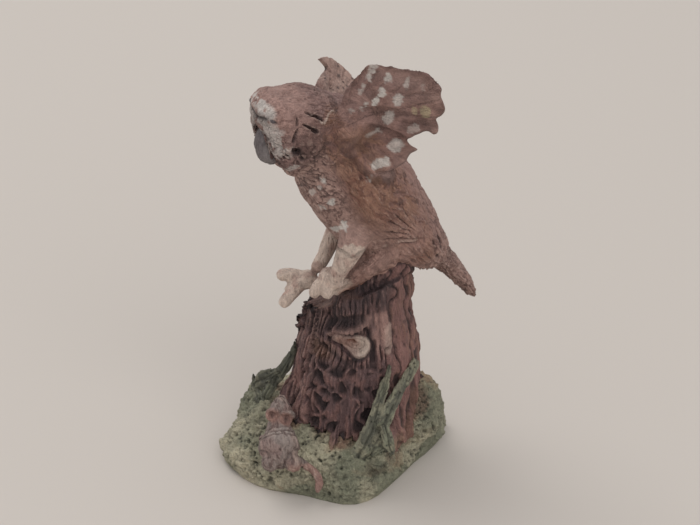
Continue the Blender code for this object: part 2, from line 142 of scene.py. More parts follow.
def lay_nodes(bm, names, swell=SWELL):
    """Lays copies of the frame's nodes into bm, in millimetres, merged and a little swollen."""
    for name in names:
        copy = bmesh.new()
        copy.from_mesh(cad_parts[name].data)
        bmesh.ops.transform(copy, matrix=Matrix.Scale(1 / MILLIMETRE, 4), verts=copy.verts)
        bmesh.ops.remove_doubles(copy, verts=copy.verts, dist=1e-4)
        copy.normal_update()
        for vert in copy.verts:
            vert.co += vert.normal * swell
        loose = bpy.data.meshes.new("laid")
        copy.to_mesh(loose)
        copy.free()
        bm.from_mesh(loose)
        bpy.data.meshes.remove(loose)


def put(name, data):
    """Puts an object into the scene. A bmesh becomes a mesh first."""
    if isinstance(data, bmesh.types.BMesh):
        mesh = bpy.data.meshes.new(name)
        data.to_mesh(mesh)
        data.free()
        data = mesh
    obj = bpy.data.objects.new(name, data)
    bpy.context.scene.collection.objects.link(obj)
    return obj


def read(items, name, width=3, kind=float):
    """What each of a mesh's items holds under a name, as rows of an array."""
    values = np.empty(len(items) * width, kind)
    items.foreach_get(name, values)
    return values.reshape(-1, width)


# ---- Masks: numbers for each point, mostly from 0 to 1 ----------------------------------------------------

def fields(points, frequency, seed, octaves=2, stretch=(1, 1, 1)):
    """Smooth random values from about -1 to 1 over an array of points."""
    places = points * (np.array(stretch) * frequency) + np.array((seed * 17.3, seed * 5.1, seed * -9.7))
    return np.array([noise.fractal(p, 0.9, 2.0, octaves) for p in places.tolist()])


def warps(points, frequency, *seeds):
    return np.c_[tuple(fields(points, frequency, seed) for seed in seeds)]


def cells(points, frequency, seed, stretch=(1, 1, 1)):
    """Distances to the nearest and second nearest of random centres, in cell widths."""
    places = points * (np.array(stretch) * frequency) + seed * 7.7
    found = [noise.voronoi(p)[0] for p in places.tolist()]
    return np.array([(d[0], d[1]) for d in found]).T


def ramp(values, low, high):
    """0 below low, 1 above high and smooth between them."""
    t = np.clip((values - low) / (high - low), 0, 1)
    return t * t * (3 - 2 * t)


def fade(values, low, high):
    """1 below low, 0 above high and smooth between them."""
    return 1 - ramp(values, low, high)


def between(values, low, high, soft):
    """1 from low to high, fading over soft at each end."""
    return ramp(values, low - soft, low + soft) * fade(values, high - soft, high + soft)


def most(*masks):
    return reduce(np.maximum, masks)


def off_line(points, start, end):
    """How far each point is from the line between start and end, and at what share of its length."""
    start = np.array(start)
    along = np.array(end) - start
    share = np.clip((points - start) @ along / (along @ along), 0, 1)
    return np.linalg.norm(points - start - share[:, None] * along, axis=1), share


def near(points, places, inner, outer):
    """1 within inner of a place, or of a line through several, down to 0 at outer."""
    if isinstance(places, Vector):
        return fade(distance(points, places), inner, outer)
    return fade(reduce(np.minimum, [distance(points, a, b) for a, b in zip(places, places[1:])]), inner, outer)


def distance(points, start, end=None):
    """How far each point is from a place, or from the line between two."""
    return np.linalg.norm(points - np.array(start), axis=1) if end is None else off_line(points, start, end)[0]


class Clay:
    """A body pressed from lumps, whose points are then tooled and painted."""

    def __init__(self, name, bm, grain=GRAIN, smoothing=2):
        bmesh.ops.recalc_face_normals(bm, faces=bm.faces)
        self.obj = put(name, bm)
        press = self.obj.modifiers.new("press", "REMESH")
        press.mode = "VOXEL"
        press.voxel_size = grain
        thumb = self.obj.modifiers.new("thumb", "SMOOTH")
        thumb.factor = 0.5
        thumb.iterations = smoothing
        shaped = self.obj.evaluated_get(bpy.context.evaluated_depsgraph_get())
        self.obj.data = self.mesh = bpy.data.meshes.new_from_object(shaped)
        self.obj.modifiers.clear()
        self.points = read(self.mesh.vertices, "co")
        self.pairs = read(self.mesh.edges, "vertices", 2, int)
        self.degree = np.bincount(self.pairs.ravel(), minlength=len(self.points))
        self.colours = np.zeros((len(self.points), 3))
        self.gloss = np.zeros(len(self.points))
        self.flow = self.points  # where each point lies along the brush strokes
        self.turn_normals()

    def turn_normals(self):
        self.mesh.vertices.foreach_set("co", self.points.ravel())
        self.mesh.update()
        self.normals = read(self.mesh.vertex_normals, "vector")

    def spread(self, values, rounds):
        """Values averaged with their neighbours, so many times over."""
        a, b = self.pairs.T
        count = len(self.points)
        columns = values.reshape(count, -1).T
        for _ in range(rounds):
            columns = [
                0.5 * c + 0.5 * (np.bincount(a, c[b], count) + np.bincount(b, c[a], count)) / self.degree
                for c in columns
            ]
        return np.array(columns).T.reshape(values.shape)

    def push(self, depths):
        """Moves each point out along its normal, or in."""
        self.points = self.points + self.normals * np.reshape(depths, (-1, 1))
        self.turn_normals()

    def iron(self, mask, rounds):
        """Smooths the surface where the mask says."""
        self.points = self.points + mask[:, None] * (self.spread(self.points, rounds) - self.points)
        self.turn_normals()

    def relief(self, rounds):
        """How far each point stands out of its surroundings, or sits in them, in millimetres."""
        return np.einsum("ij,ij->i", self.points - self.spread(self.points, rounds), self.normals)

    def on(self, node, reach):
        """1 on a node of the frame, down to 0 at a distance."""
        bm = bmesh.new()
        lay_nodes(bm, [node], 0)
        tree = BVHTree.FromBMesh(bm)
        bm.free()
        far = [tree.find_nearest(p, reach)[3] for p in self.points.tolist()]
        return fade(np.array([reach if d is None else d for d in far]), 0, reach)

    def brush(self, colour, mask=1):
        """Paints a colour on, as thickly as the mask says."""
        thick = np.clip(mask * np.ones(len(self.points)), 0, 1)
        self.colours += thick[:, None] * (np.array(colour) - self.colours)

    def finish(self, material, slot, *nodes):
        """Stores the paint and the relief for the material, and brings the piece into the frame."""
        held = (
            ("paint", "FLOAT_COLOR", "color", np.c_[self.colours, np.ones(len(self.points))]),
            ("flow", "FLOAT_VECTOR", "vector", self.flow), ("relief", "FLOAT", "value", self.relief(6)),
            ("gloss", "FLOAT", "value", self.gloss),
        )
        self.mesh.transform(Matrix.Scale(MILLIMETRE, 4))
        self.mesh.polygons.foreach_set("use_smooth", np.ones(len(self.mesh.polygons), bool))
        for name, kind, key, values in held:
            made = self.mesh.attributes.new(name, kind, "POINT")
            made.data.foreach_set(key, values.ravel().astype(np.float32))
        self.mesh.materials.append(material)
        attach(self.obj, "root")
        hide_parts(*nodes)
        print(self.obj.name, len(self.points), "points")


# ---- Materials --------------------------------------------------------------------------------------------

class Socket:
    """A node's output that Python's operators add Math nodes to."""

    def __init__(self, coat, output):
        self.coat = coat
        self.output = output

    def math(self, operation, a, b):
        return self.coat.node("ShaderNodeMath", {"operation": operation}, {0: a, 1: b})

    def __add__(self, other):
        return self.math("ADD", self, other)

    __radd__ = __add__

    def __sub__(self, other):
        return self.math("SUBTRACT", self, other)

    def __rsub__(self, other):
        return self.math("SUBTRACT", other, self)

    def __mul__(self, other):
        return self.math("MULTIPLY", self, other)

    __rmul__ = __mul__

    def clamp(self, low=0.0, high=1.0):
        return self.math("MINIMUM", self.math("MAXIMUM", self, low), high)


class Coat:
    """A material under construction."""

    def __init__(self, name, roughness, specular=0.5):
        self.material = bpy.data.materials.new(name)
        self.material.use_nodes = True
        self.tree = self.material.node_tree
        self.shader = self.tree.nodes["Principled BSDF"]
        self.shader.inputs["Roughness"].default_value = roughness
        self.shader.inputs["Specular IOR Level"].default_value = specular

    def node(self, kind, settings, sockets, output=0):
        """Adds a node with its settings, then its sockets' values or links, and returns an output."""
        made = self.tree.nodes.new(kind)
        for name, value in settings.items():
            setattr(made, name, value)
        for name, value in sockets.items():
            if isinstance(value, Socket):
                self.tree.links.new(value.output, made.inputs[name])
            else:
                made.inputs[name].default_value = value
        return Socket(self, made.outputs[output])

    def link(self, socket, value):
        self.tree.links.new(value.output, self.shader.inputs[socket])

    def attribute(self, name, output="Fac"):
        return self.node("ShaderNodeAttribute", {"attribute_name": name}, {}, output)

    def places(self, stretch=(1, 1, 1)):
        """Object coordinates in millimetres."""
        return self.node(
            "ShaderNodeMapping", {}, {
                "Vector": self.node("ShaderNodeTexCoord", {}, {}, "Object"),
                "Scale": [s / MILLIMETRE for s in stretch],
            },
        )

    def flow(self, stretch):
        """Coordinates that follow the strokes over the surface, in millimetres."""
        return self.node("ShaderNodeMapping", {}, {"Vector": self.attribute("flow", "Vector"), "Scale": stretch})

    def speckle(self, places, scale, detail=2, roughness=0.6):
        """Noise centred on 0."""
        return self.node(
            "ShaderNodeTexNoise", {},
            {"Vector": places, "Scale": scale, "Detail": detail, "Roughness": roughness},
        ) - 0.5

    def mix(self, factor, a, b, blend="MIX"):
        return self.node(
            "ShaderNodeMix", {"data_type": "RGBA", "blend_type": blend}, {0: factor, 6: a, 7: b}, 2,
        )

    def bump(self, height, distance, strength=1.0):
        """Fine marks, as high as distance in millimetres."""
        self.link("Normal", self.node(
            "ShaderNodeBump", {}, {"Height": height, "Distance": distance * MILLIMETRE, "Strength": strength},
            "Normal",
        ))


def painted(name, wash, light, roughness=0.62, fine=4.5, stroke=(1, 1, 0.2), depth=8.0, contrast=1.0, bump=0.3):
    """Brushed paint over clay: hair-fine strokes, a dark wash in the hollows, a dry brush on what stands out."""
    coat = Coat(name, roughness)
    places = coat.places()
    mottle = coat.speckle(places, 1.2, 3)
    hairs = coat.speckle(coat.flow(stroke), fine, 3, 0.65)
    grit = coat.speckle(places, 7.0, 2, 0.7)
    relief = coat.attribute("relief")
    marks = hairs * 1.6 * contrast + grit * 0.9 * contrast
    shade = coat.mix(
        (0.5 + mottle * 0.9 + marks).clamp(), (0.60, 0.57, 0.57, 1), (1.40, 1.36, 1.33, 1),
    )
    base = coat.mix(1.0, coat.attribute("paint", "Color"), shade, "MULTIPLY")
    hollow = (relief * -depth - marks * 0.5 - 0.26).clamp(0.0, 0.85)
    base = coat.mix(hollow, base, (*wash, 1))
    ridge = (relief * depth + marks * 0.9 - 0.22).clamp(0.0, 0.55)
    coat.link("Base Color", coat.mix(ridge, base, (*light, 1)))
    gloss = coat.attribute("gloss")
    coat.link("Roughness", (roughness + hairs * 0.3 - gloss * (roughness - 0.22)).clamp(0.12, 1.0))
    coat.bump(hairs + grit * 0.6, bump)
    return coat.material


# ---- Paints -----------------------------------------------------------------------------------------------

UMBER = (0.090, 0.045, 0.038)
CHESTNUT = (0.205, 0.092, 0.062)
TAWNY = (0.330, 0.185, 0.130)
PLUM = (0.300, 0.190, 0.175)
ROSE = (0.430, 0.270, 0.235)
SAND = (0.530, 0.395, 0.340)
CREAM = (0.660, 0.550, 0.475)
CHALK = (0.680, 0.650, 0.620)
OCHRE = (0.540, 0.480, 0.300)
SOOT = (0.034, 0.024, 0.027)
SLATE = (0.120, 0.105, 0.112)
BARK = (0.185, 0.112, 0.112)
RUST = (0.290, 0.155, 0.138)
MOSS = (0.350, 0.340, 0.245)
LIME = (0.600, 0.565, 0.420)
FERN = (0.240, 0.255, 0.183)
LEAF = (0.120, 0.124, 0.096)
PINE = (0.040, 0.044, 0.034)
EARTH = (0.225, 0.128, 0.095)
STRAW = (0.480, 0.360, 0.240)
FUR = (0.280, 0.228, 0.208)
PINK = (0.350, 0.205, 0.172)


# ---- The owl ----------------------------------------------------------------------------------------------

OWL_NODES = (
    "owl_head", "owl_neck", "owl_trunk", "owl_tail", "owl_wing_left", "owl_wing_right",
    "owl_leg_left", "owl_leg_right", "owl_foot_left", "owl_foot_right",
)
SPINE = (
    inside("owl_head", 50, 10, 62), inside("owl_head", 50, 50, 60), inside("owl_neck", 50, 50, 50),
    inside("owl_trunk", 50, 36, 60), inside("owl_trunk", 50, 64, 33), inside("owl_tail", 50, 0, 95),
    inside("owl_tail", 50, 100, 0),
)
# The leading edge of each wing, from the shoulder to the wrist.
ARMS = {
    "owl_wing_left": ((2, 14, 33), (15, 9, 48), (29, 10, 68), (44, 18, 84)),
    "owl_wing_right": ((98, 18, 42), (86, 14, 62), (68, 17, 76), (50, 28, 80)),
}
# The left wing's tiers, lowest first: how far each stands in front of the wing's middle, its thickness and outline.
TIERS = (
    (-0.25, 0.85, (
        (52, 66, 37), (53, 72, 32), (56, 78, 30), (54, 77, 27), (49, 73, 25),
        (45, 71, 21), (40, 69, 16), (21, 54, 6), (10, 35, 11), (4, 18, 23),
        (16, 16, 42), (36, 40, 52), (50, 58, 50),
    )),
    (0.12, 0.75, (
        (82, 92, 51), (78, 93, 44), (73, 88, 42), (71, 83, 45), (60, 73, 40),
        (53, 68, 37), (47, 55, 42), (40, 44, 45), (30, 31, 46), (18, 14, 47),
        (28, 18, 60), (50, 44, 68), (72, 72, 66), (81, 86, 58),
    )),
    (0.50, 0.75, (
        (35, 7, 79), (45, 13, 88), (55, 18, 96), (66, 30, 97), (67, 33, 95.5),
        (71, 37, 96.5), (80, 50, 95), (93, 68, 94), (97, 76, 91), (100, 87, 82),
        (96, 88, 76), (95.5, 94, 67), (92, 95, 62), (85, 90, 57), (71, 73, 56),
        (65, 64, 58), (56, 51, 61), (50, 41, 62), (36, 25, 60), (19, 8, 53),
    )),
)
# Broad feathers of the right wing in tiers, lowest first: how far the tier stands off the wing's middle, then the
# root, tip and half width of each feather.
FEATHERS = (
    (0.05, (
        ((97, 42, 22), (86, 78, 10), 0.8), ((96, 36, 30), (66, 86, 15), 0.95),
        ((95, 30, 38), (46, 90, 22), 0.95),
    )),
    (0.28, (
        ((92, 26, 44), (34, 91, 30), 0.85), ((90, 22, 50), (24, 91, 38), 0.85),
    )),
    (0.52, (
        ((86, 20, 54), (16, 87, 46), 0.9), ((82, 18, 58), (16, 78, 56), 0.95),
        ((78, 16, 62), (24, 64, 66), 0.9),
    )),
)
# Three points on each wing's middle sheet, of which the first is the hub that its feathers fan out from.
SHEETS = {
    "owl_wing_left": ((18, 10, 54), (100, 87, 82), (78, 93, 44)),
    "owl_wing_right": ((90, 18, 48), (22, 53, 80), (86, 78, 10)),
}
# The right wing's top feather, whose tip hooks to the front.
HOOK = (
    (29, 23, 95), (23, 29, 95), (18, 40, 92), (17, 50, 86), (18, 59, 79),
    (21, 69, 69), (30, 79, 55), (58, 60, 45), (70, 33, 55), (73, 5, 71),
    (62, 10, 76), (52, 17, 80), (41, 26, 83), (33, 32, 85), (31, 27, 91),
)
# The clay of the left flank runs down behind the leg to the stump: places in the trunk's box, and radii.
THIGH = (
    (((75, 16, 4), (81, 28, 12), (87, 41, 21), (86, 51, 27)), (0.50, 0.70, 0.85, 1.0)),
    (((64, 25, 2), (71, 38, 14), (74, 51, 23)), (0.9, 1.3, 1.6)),
)
# Spots on the wing: both ends, radius, paint and how thickly it covers.
SPOTS = (
    ((64, 18, 95), (66, 19, 97), 0.30, CHALK, 0.9),
    ((58, 16, 86), (60, 17, 90), 0.22, CHALK, 0.8),
    ((51, 13, 80), (53, 14, 82), 0.17, CHALK, 0.6),
    ((46, 11, 75), (47, 12, 77), 0.13, CHALK, 0.5),
    ((70, 33, 88), (72, 34, 92), 0.27, CHALK, 0.95),
    ((60, 30, 75), (63, 31, 79), 0.28, CHALK, 1.0),
    ((52, 25, 67), (55, 27, 71), 0.25, CHALK, 1.0),
    ((45, 19, 64), (46, 20, 67), 0.16, CHALK, 0.8),
    ((41, 14, 60), (42, 15, 63), 0.14, CHALK, 0.7),
    ((30, 6, 59), (35, 8, 60), 0.14, CHALK, 0.55),
    ((84, 53, 92), (80, 50, 83), 0.15, CHALK, 0.6),
    ((68, 46, 70), (70, 48, 74), 0.36, CHALK, 0.8),
    ((50, 42, 53), (54, 44, 57), 0.42, CHALK, 0.65),
    ((36, 37, 40), (27, 30, 36), 0.22, CHALK, 0.8),
    ((91, 66, 83), (91, 68, 87), 0.16, CHALK, 0.3),
    ((83, 74, 61), (83, 74, 66), 0.40, OCHRE, 0.7),
    ((76, 65, 63), (76, 65, 66), 0.28, OCHRE, 0.5),
    ((65, 66, 47), (69, 70, 48), 0.42, CHALK, 0.35),
    ((41, 53, 27), (43, 58, 32), 0.56, CHALK, 0.95),
    ((20, 44, 12), (25, 50, 15), 0.50, CHALK, 0.95),
    ((7, 39, 2), (10, 42, 5), 0.20, CHALK, 0.6),
)
# Dabs of pale paint on the body, on both flanks: node, both ends, radius and how thickly it covers.
DABS = (
    ("owl_neck", (88, 21, 31), (87, 21, 36), 0.26, 0.8), ("owl_neck", (83, 18, 16), (84, 18, 20), 0.2, 0.5),
    ("owl_trunk", (85, 10, 66), (86, 11, 69), 0.30, 0.9), ("owl_trunk", (77, 8, 63), (76, 9, 59), 0.13, 0.7),
    ("owl_trunk", (72, 7, 62), (71, 8, 58), 0.12, 0.6), ("owl_neck", (71, 12, 4), (75, 13, 9), 0.3, 0.5),
    ("owl_trunk", (82, 20, 49), (66, 17, 42), 0.34, 0.85), ("owl_trunk", (84, 20, 52), (84, 21, 48), 0.34, 0.8),
    ("owl_trunk", (98, 31, 82), (98, 33, 79), 0.10, 0.6), ("owl_head", (88, 24, 27), (80, 22, 20), 0.3, 0.5),
    ("owl_head", (72, 23, 15), (66, 24, 10), 0.3, 0.5),
)
# The bare brown clay under the left wing's root.
ROOT = ((0, 5, 38), (8, 15, 33), (14, 32, 22))
# Lines just below the lower edges of the left wing's two upper tiers, where their shadow is painted.
STEP_SHADOWS = (
    ((92, 95, 60), (85, 90, 55), (71, 73, 54), (65, 64, 56), (56, 51, 59), (44, 34, 59)),
    ((70, 83, 43), (60, 73, 38.5), (53, 68, 36), (47, 55, 40), (40, 44, 43), (30, 31, 44)),
)
# Cuts on both sides of the head, most of them behind the ear: both ends, half width and depth.
SLOTS = (
    ((83, 33, 87), (91, 48, 77), 0.11, 0.42), ((92, 30, 76), (97, 40, 68), 0.12, 0.45),
    ((74, 37, 93), (79, 46, 89), 0.08, 0.22), ((56, 47, 98), (55, 69, 84), 0.05, 0.08),
    ((70, 46, 94), (72, 65, 82), 0.05, 0.09), ((80, 42, 88), (84, 58, 80), 0.05, 0.09),
    ((62, 40, 97), (66, 56, 91), 0.05, 0.08), ((86, 26, 83), (90, 24, 76), 0.09, 0.2),
    ((92, 23, 73), (93, 19, 60), 0.12, 0.28), ((92, 18, 51), (94, 21, 47), 0.22, 0.45),
    ((88, 14, 47), (89, 15, 42), 0.10, 0.25), ((84, 12, 44), (86, 13, 38), 0.10, 0.25),
    ((79, 10, 41), (82, 11, 36), 0.10, 0.22), ((94, 25, 45), (95, 27, 37), 0.12, 0.25),
)
# Cuts at the root of the tail, and long lines that follow the belly's edge.
TAIL_SLOTS = (
    ((81, 84, 32), (82, 88, 20), 0.13, 0.35), ((60, 99, 19), (63, 100, 8), 0.13, 0.35),
    ((88, 80, 28), (84, 85, 15), 0.10, 0.25), ((72, 94, 24), (74, 96, 12), 0.09, 0.2),
)
BELLY_LINE = ((83, 39, 27), (92, 45, 32), (96, 54, 33.5), (95, 66, 31.5))
# Strokes that fan out over the flank, away from this point.
FAN = (94, 68, 36)
# Threads of varnish behind the left ear: raised a little, with their glint painted on as a pale highlight.
GLINTING_THREADS = (
    ((93, 49, 73), (90, 53, 76), (87, 56, 79), (82, 61, 79), (79, 65, 76)),
    ((90, 56, 70), (88, 57, 74), (86, 59, 77)), ((93, 44, 80), (93, 47, 74)),
)
# The middle of the flank's bare brown clay, from the shoulder to the thigh.
SIDE = ((97, 20, 100), (98, 33, 82), (97, 50, 54), (94, 56, 34), (88, 42, 24))
# Lines on the left half of the face: the slit of the eye, the middle of the pale brow and that of the cheek.
EYE_LINE = ((49, 1, 73), (62, 1, 77.5), (75.7, 3.7, 80), (84, 7, 78))
BROW = ((50, 2, 90), (59, 2, 87.5), (67, 3, 85.5), (72, 5, 84))
CHEEK = ((62, 2, 70), (74, 5, 66), (82, 8, 60), (85, 11, 50), (76, 9, 44))
# The beak's ridge, from the forehead down: centres, half widths and half depths.
BEAK = (
    ((50, 46, 96), (50, 53, 83), (50, 53, 56), (50, 59, 35), (50, 66, 16), (50, 68, 6)),
    (0.40, 0.62, 1.05, 1.28, 1.05, 0.5), (0.45, 0.75, 1.02, 1.06, 0.88, 0.45),
)


def wing_sheet(name):
    """The hub of a wing's feathers, the way they point on average and its normal, which faces away from the body."""
    hub, high, low = trace(name, SHEETS[name])
    normal = (high - hub).cross(low - hub).normalized()
    outward = 1 if name == "owl_wing_left" else -1
    return hub, ((high + low) / 2 - hub).normalized(), normal if normal.x * outward > 0 else -normal


def wing_places(points, name):
    """Where points lie on a wing: turn about its hub in radians, height off its sheet and distance from the hub."""
    hub, along, normal = wing_sheet(name)
    off = points - np.array(hub)
    x, y = off @ np.array(along), off @ np.array(normal.cross(along))
    return np.c_[np.arctan2(y, x), off @ np.array(normal), np.hypot(x, y)]


def tier_outlines():
    """The outline and thickness of each tier of the left wing, and the way they all face."""
    climb = (wing_sheet("owl_wing_left")[2] + UP * 0.85).normalized()
    return [
        ([place + climb * stand for place in trace("owl_wing_left", outline)], thickness)
        for stand, thickness, outline in TIERS
    ], climb


def add_arm(bm, name, widths, depths):
    arm = trace(name, ARMS[name])
    normal = wing_sheet(name)[2]
    limb(bm, arm, widths, depths, normal.cross(arm[-1] - arm[0]))
    return normal


def add_left_wing(bm):
    """An arm, and three stepped tiers whose feathers have grown together."""
    add_arm(bm, "owl_wing_left", (1.5, 1.2, 0.9, 0.7), (1.15, 0.85, 0.6, 0.45))
    outlines, climb = tier_outlines()
    for outline, thickness in outlines:
        plate(bm, outline, climb, thickness)


def add_right_wing(bm):
    """An arm, tiers of broad blunt feathers that overlap like shingles on both faces, and a curled top feather."""
    name = "owl_wing_right"
    normal = add_arm(bm, name, (1.5, 1.1, 0.7, 0.35), (1.15, 0.75, 0.5, 0.35))
    for stand, feathers in FEATHERS:
        for root, tip, half_width in feathers:
            root, tip = trace(name, (root, tip))
            along = (tip - root).normalized()
            tip = tip - along * half_width * 0.75
            for face in (1, -1):
                lift = normal * face * stand
                tilt = Matrix.Rotation(math.radians(13 * face), 3, along)
                limb(
                    bm, (root + lift * 0.7, root.lerp(tip, 0.5) + lift * 0.95, tip + lift * 0.75),
                    (half_width * 0.75, half_width, half_width * 0.9), (0.4, 0.24, 0.18),
                    tilt @ normal.cross(along), steps=5, blunt=half_width * 4.2,
                )
    plate(bm, trace(name, HOOK), normal, 0.6)


def spine_places(points):
    """Each point unrolled about the spine: across, towards the belly and down the spine, in millimetres."""
    best = np.full(len(points), FAR)
    places = np.zeros((len(points), 3))
    run = 0.0
    for a, b in zip(SPINE, SPINE[1:]):
        line = np.array(b - a)
        length = np.linalg.norm(line)
        t = np.clip((points - np.array(a)) @ line / length**2, 0, 1)
        off = points - np.array(a) - t[:, None] * line
        far = np.linalg.norm(off, axis=1)
        belly = np.cross(line / length, (1, 0, 0))
        unit = off / np.maximum(far, 1e-6)[:, None] * 4.0
        closer = (far < best)[:, None]
        places = np.where(closer, np.c_[unit[:, 0], unit @ belly, run + t * length], places)
        best = np.minimum(best, far)
        run += length
    return places


def turned(flow, mask, places, points, anchor):
    """The lie of the brush strokes, turned to other places where mask is 1. Both agree at the anchor."""
    at = np.argmin(distance(points, anchor))
    return flow + mask[:, None] * (places - places[at] + flow[at] - flow)


def groove(points, start, end, half, deep):
    """The depth of a tapered cut from start to end."""
    far, share = off_line(points, start, end)
    wide = half * (0.5 + 0.8 * share)
    return deep * fade(far, wide * 0.5, wide * 1.7)


def either_side(mask):
    """The larger of a mask on the left and on the right, from a function of whether it is mirrored."""
    return most(mask(False), mask(True))


def make_owl():
    bm = bmesh.new()
    lay_nodes(bm, [n for n in OWL_NODES if "wing" not in n])
    add_left_wing(bm)
    add_right_wing(bm)
    for mirrored, name in enumerate(SHEETS):
        egg(bm, inside(name, *ARMS[name][0]).lerp(SPINE[2], 0.3), (2.0, 2.1, 2.6))
        egg(bm, inside("owl_head", 78, 72, 52, mirrored), (1.6, 1.7, 1.6))
        rim = trace("owl_head", ((86, 16, 74), (91, 17, 62), (88, 17, 48), (78, 17, 38)), mirrored)
        limb(bm, rim, (0.3, 0.42, 0.4, 0.3), (0.3, 0.38, 0.38, 0.3))
    for node, place, radii in (
        ("owl_eye_left", (50, 55, 50), (0.86, 0.82, 0.86)),  # the lids close over the eyes
        ("owl_eye_right", (50, 55, 50), (0.86, 0.82, 0.86)),
        ("owl_beak", (50, 85, 62), (0.95, 0.75, 1.7)),
        ("owl_head", (50, 38, 11), (1.4, 1.4, 1.35)),
        ("owl_trunk", (62, 82, 10), (1.5, 1.6, 1.0)),
    ):
        egg(bm, inside(node, *place), radii)
    for places, radii in THIGH:
        limb(bm, trace("owl_trunk", places), radii)
    owl = Clay("owl_skin", bm)
    owl.push(-SWELL * SHRINK)
    owl.iron(near(owl.points, trace("owl_head", ((50, 5, 85), (50, 10, 35))), 1.2, 3.4), 40)
    for node, place, reach, rounds in (
        ("owl_leg_left", (62, 60, 80), 1.7, 60), ("owl_leg_left", (88, 40, 56), 1.6, 60),
        ("owl_leg_right", (50, 60, 98), 1.5, 60), ("owl_wing_left", SHEETS["owl_wing_left"][0], 2.6, 120),
        ("owl_wing_right", SHEETS["owl_wing_right"][0], 2.2, 90),
    ):
        owl.iron(near(owl.points, inside(node, *place), reach * 0.5, reach), rounds)
    tool_owl(owl)
    return owl


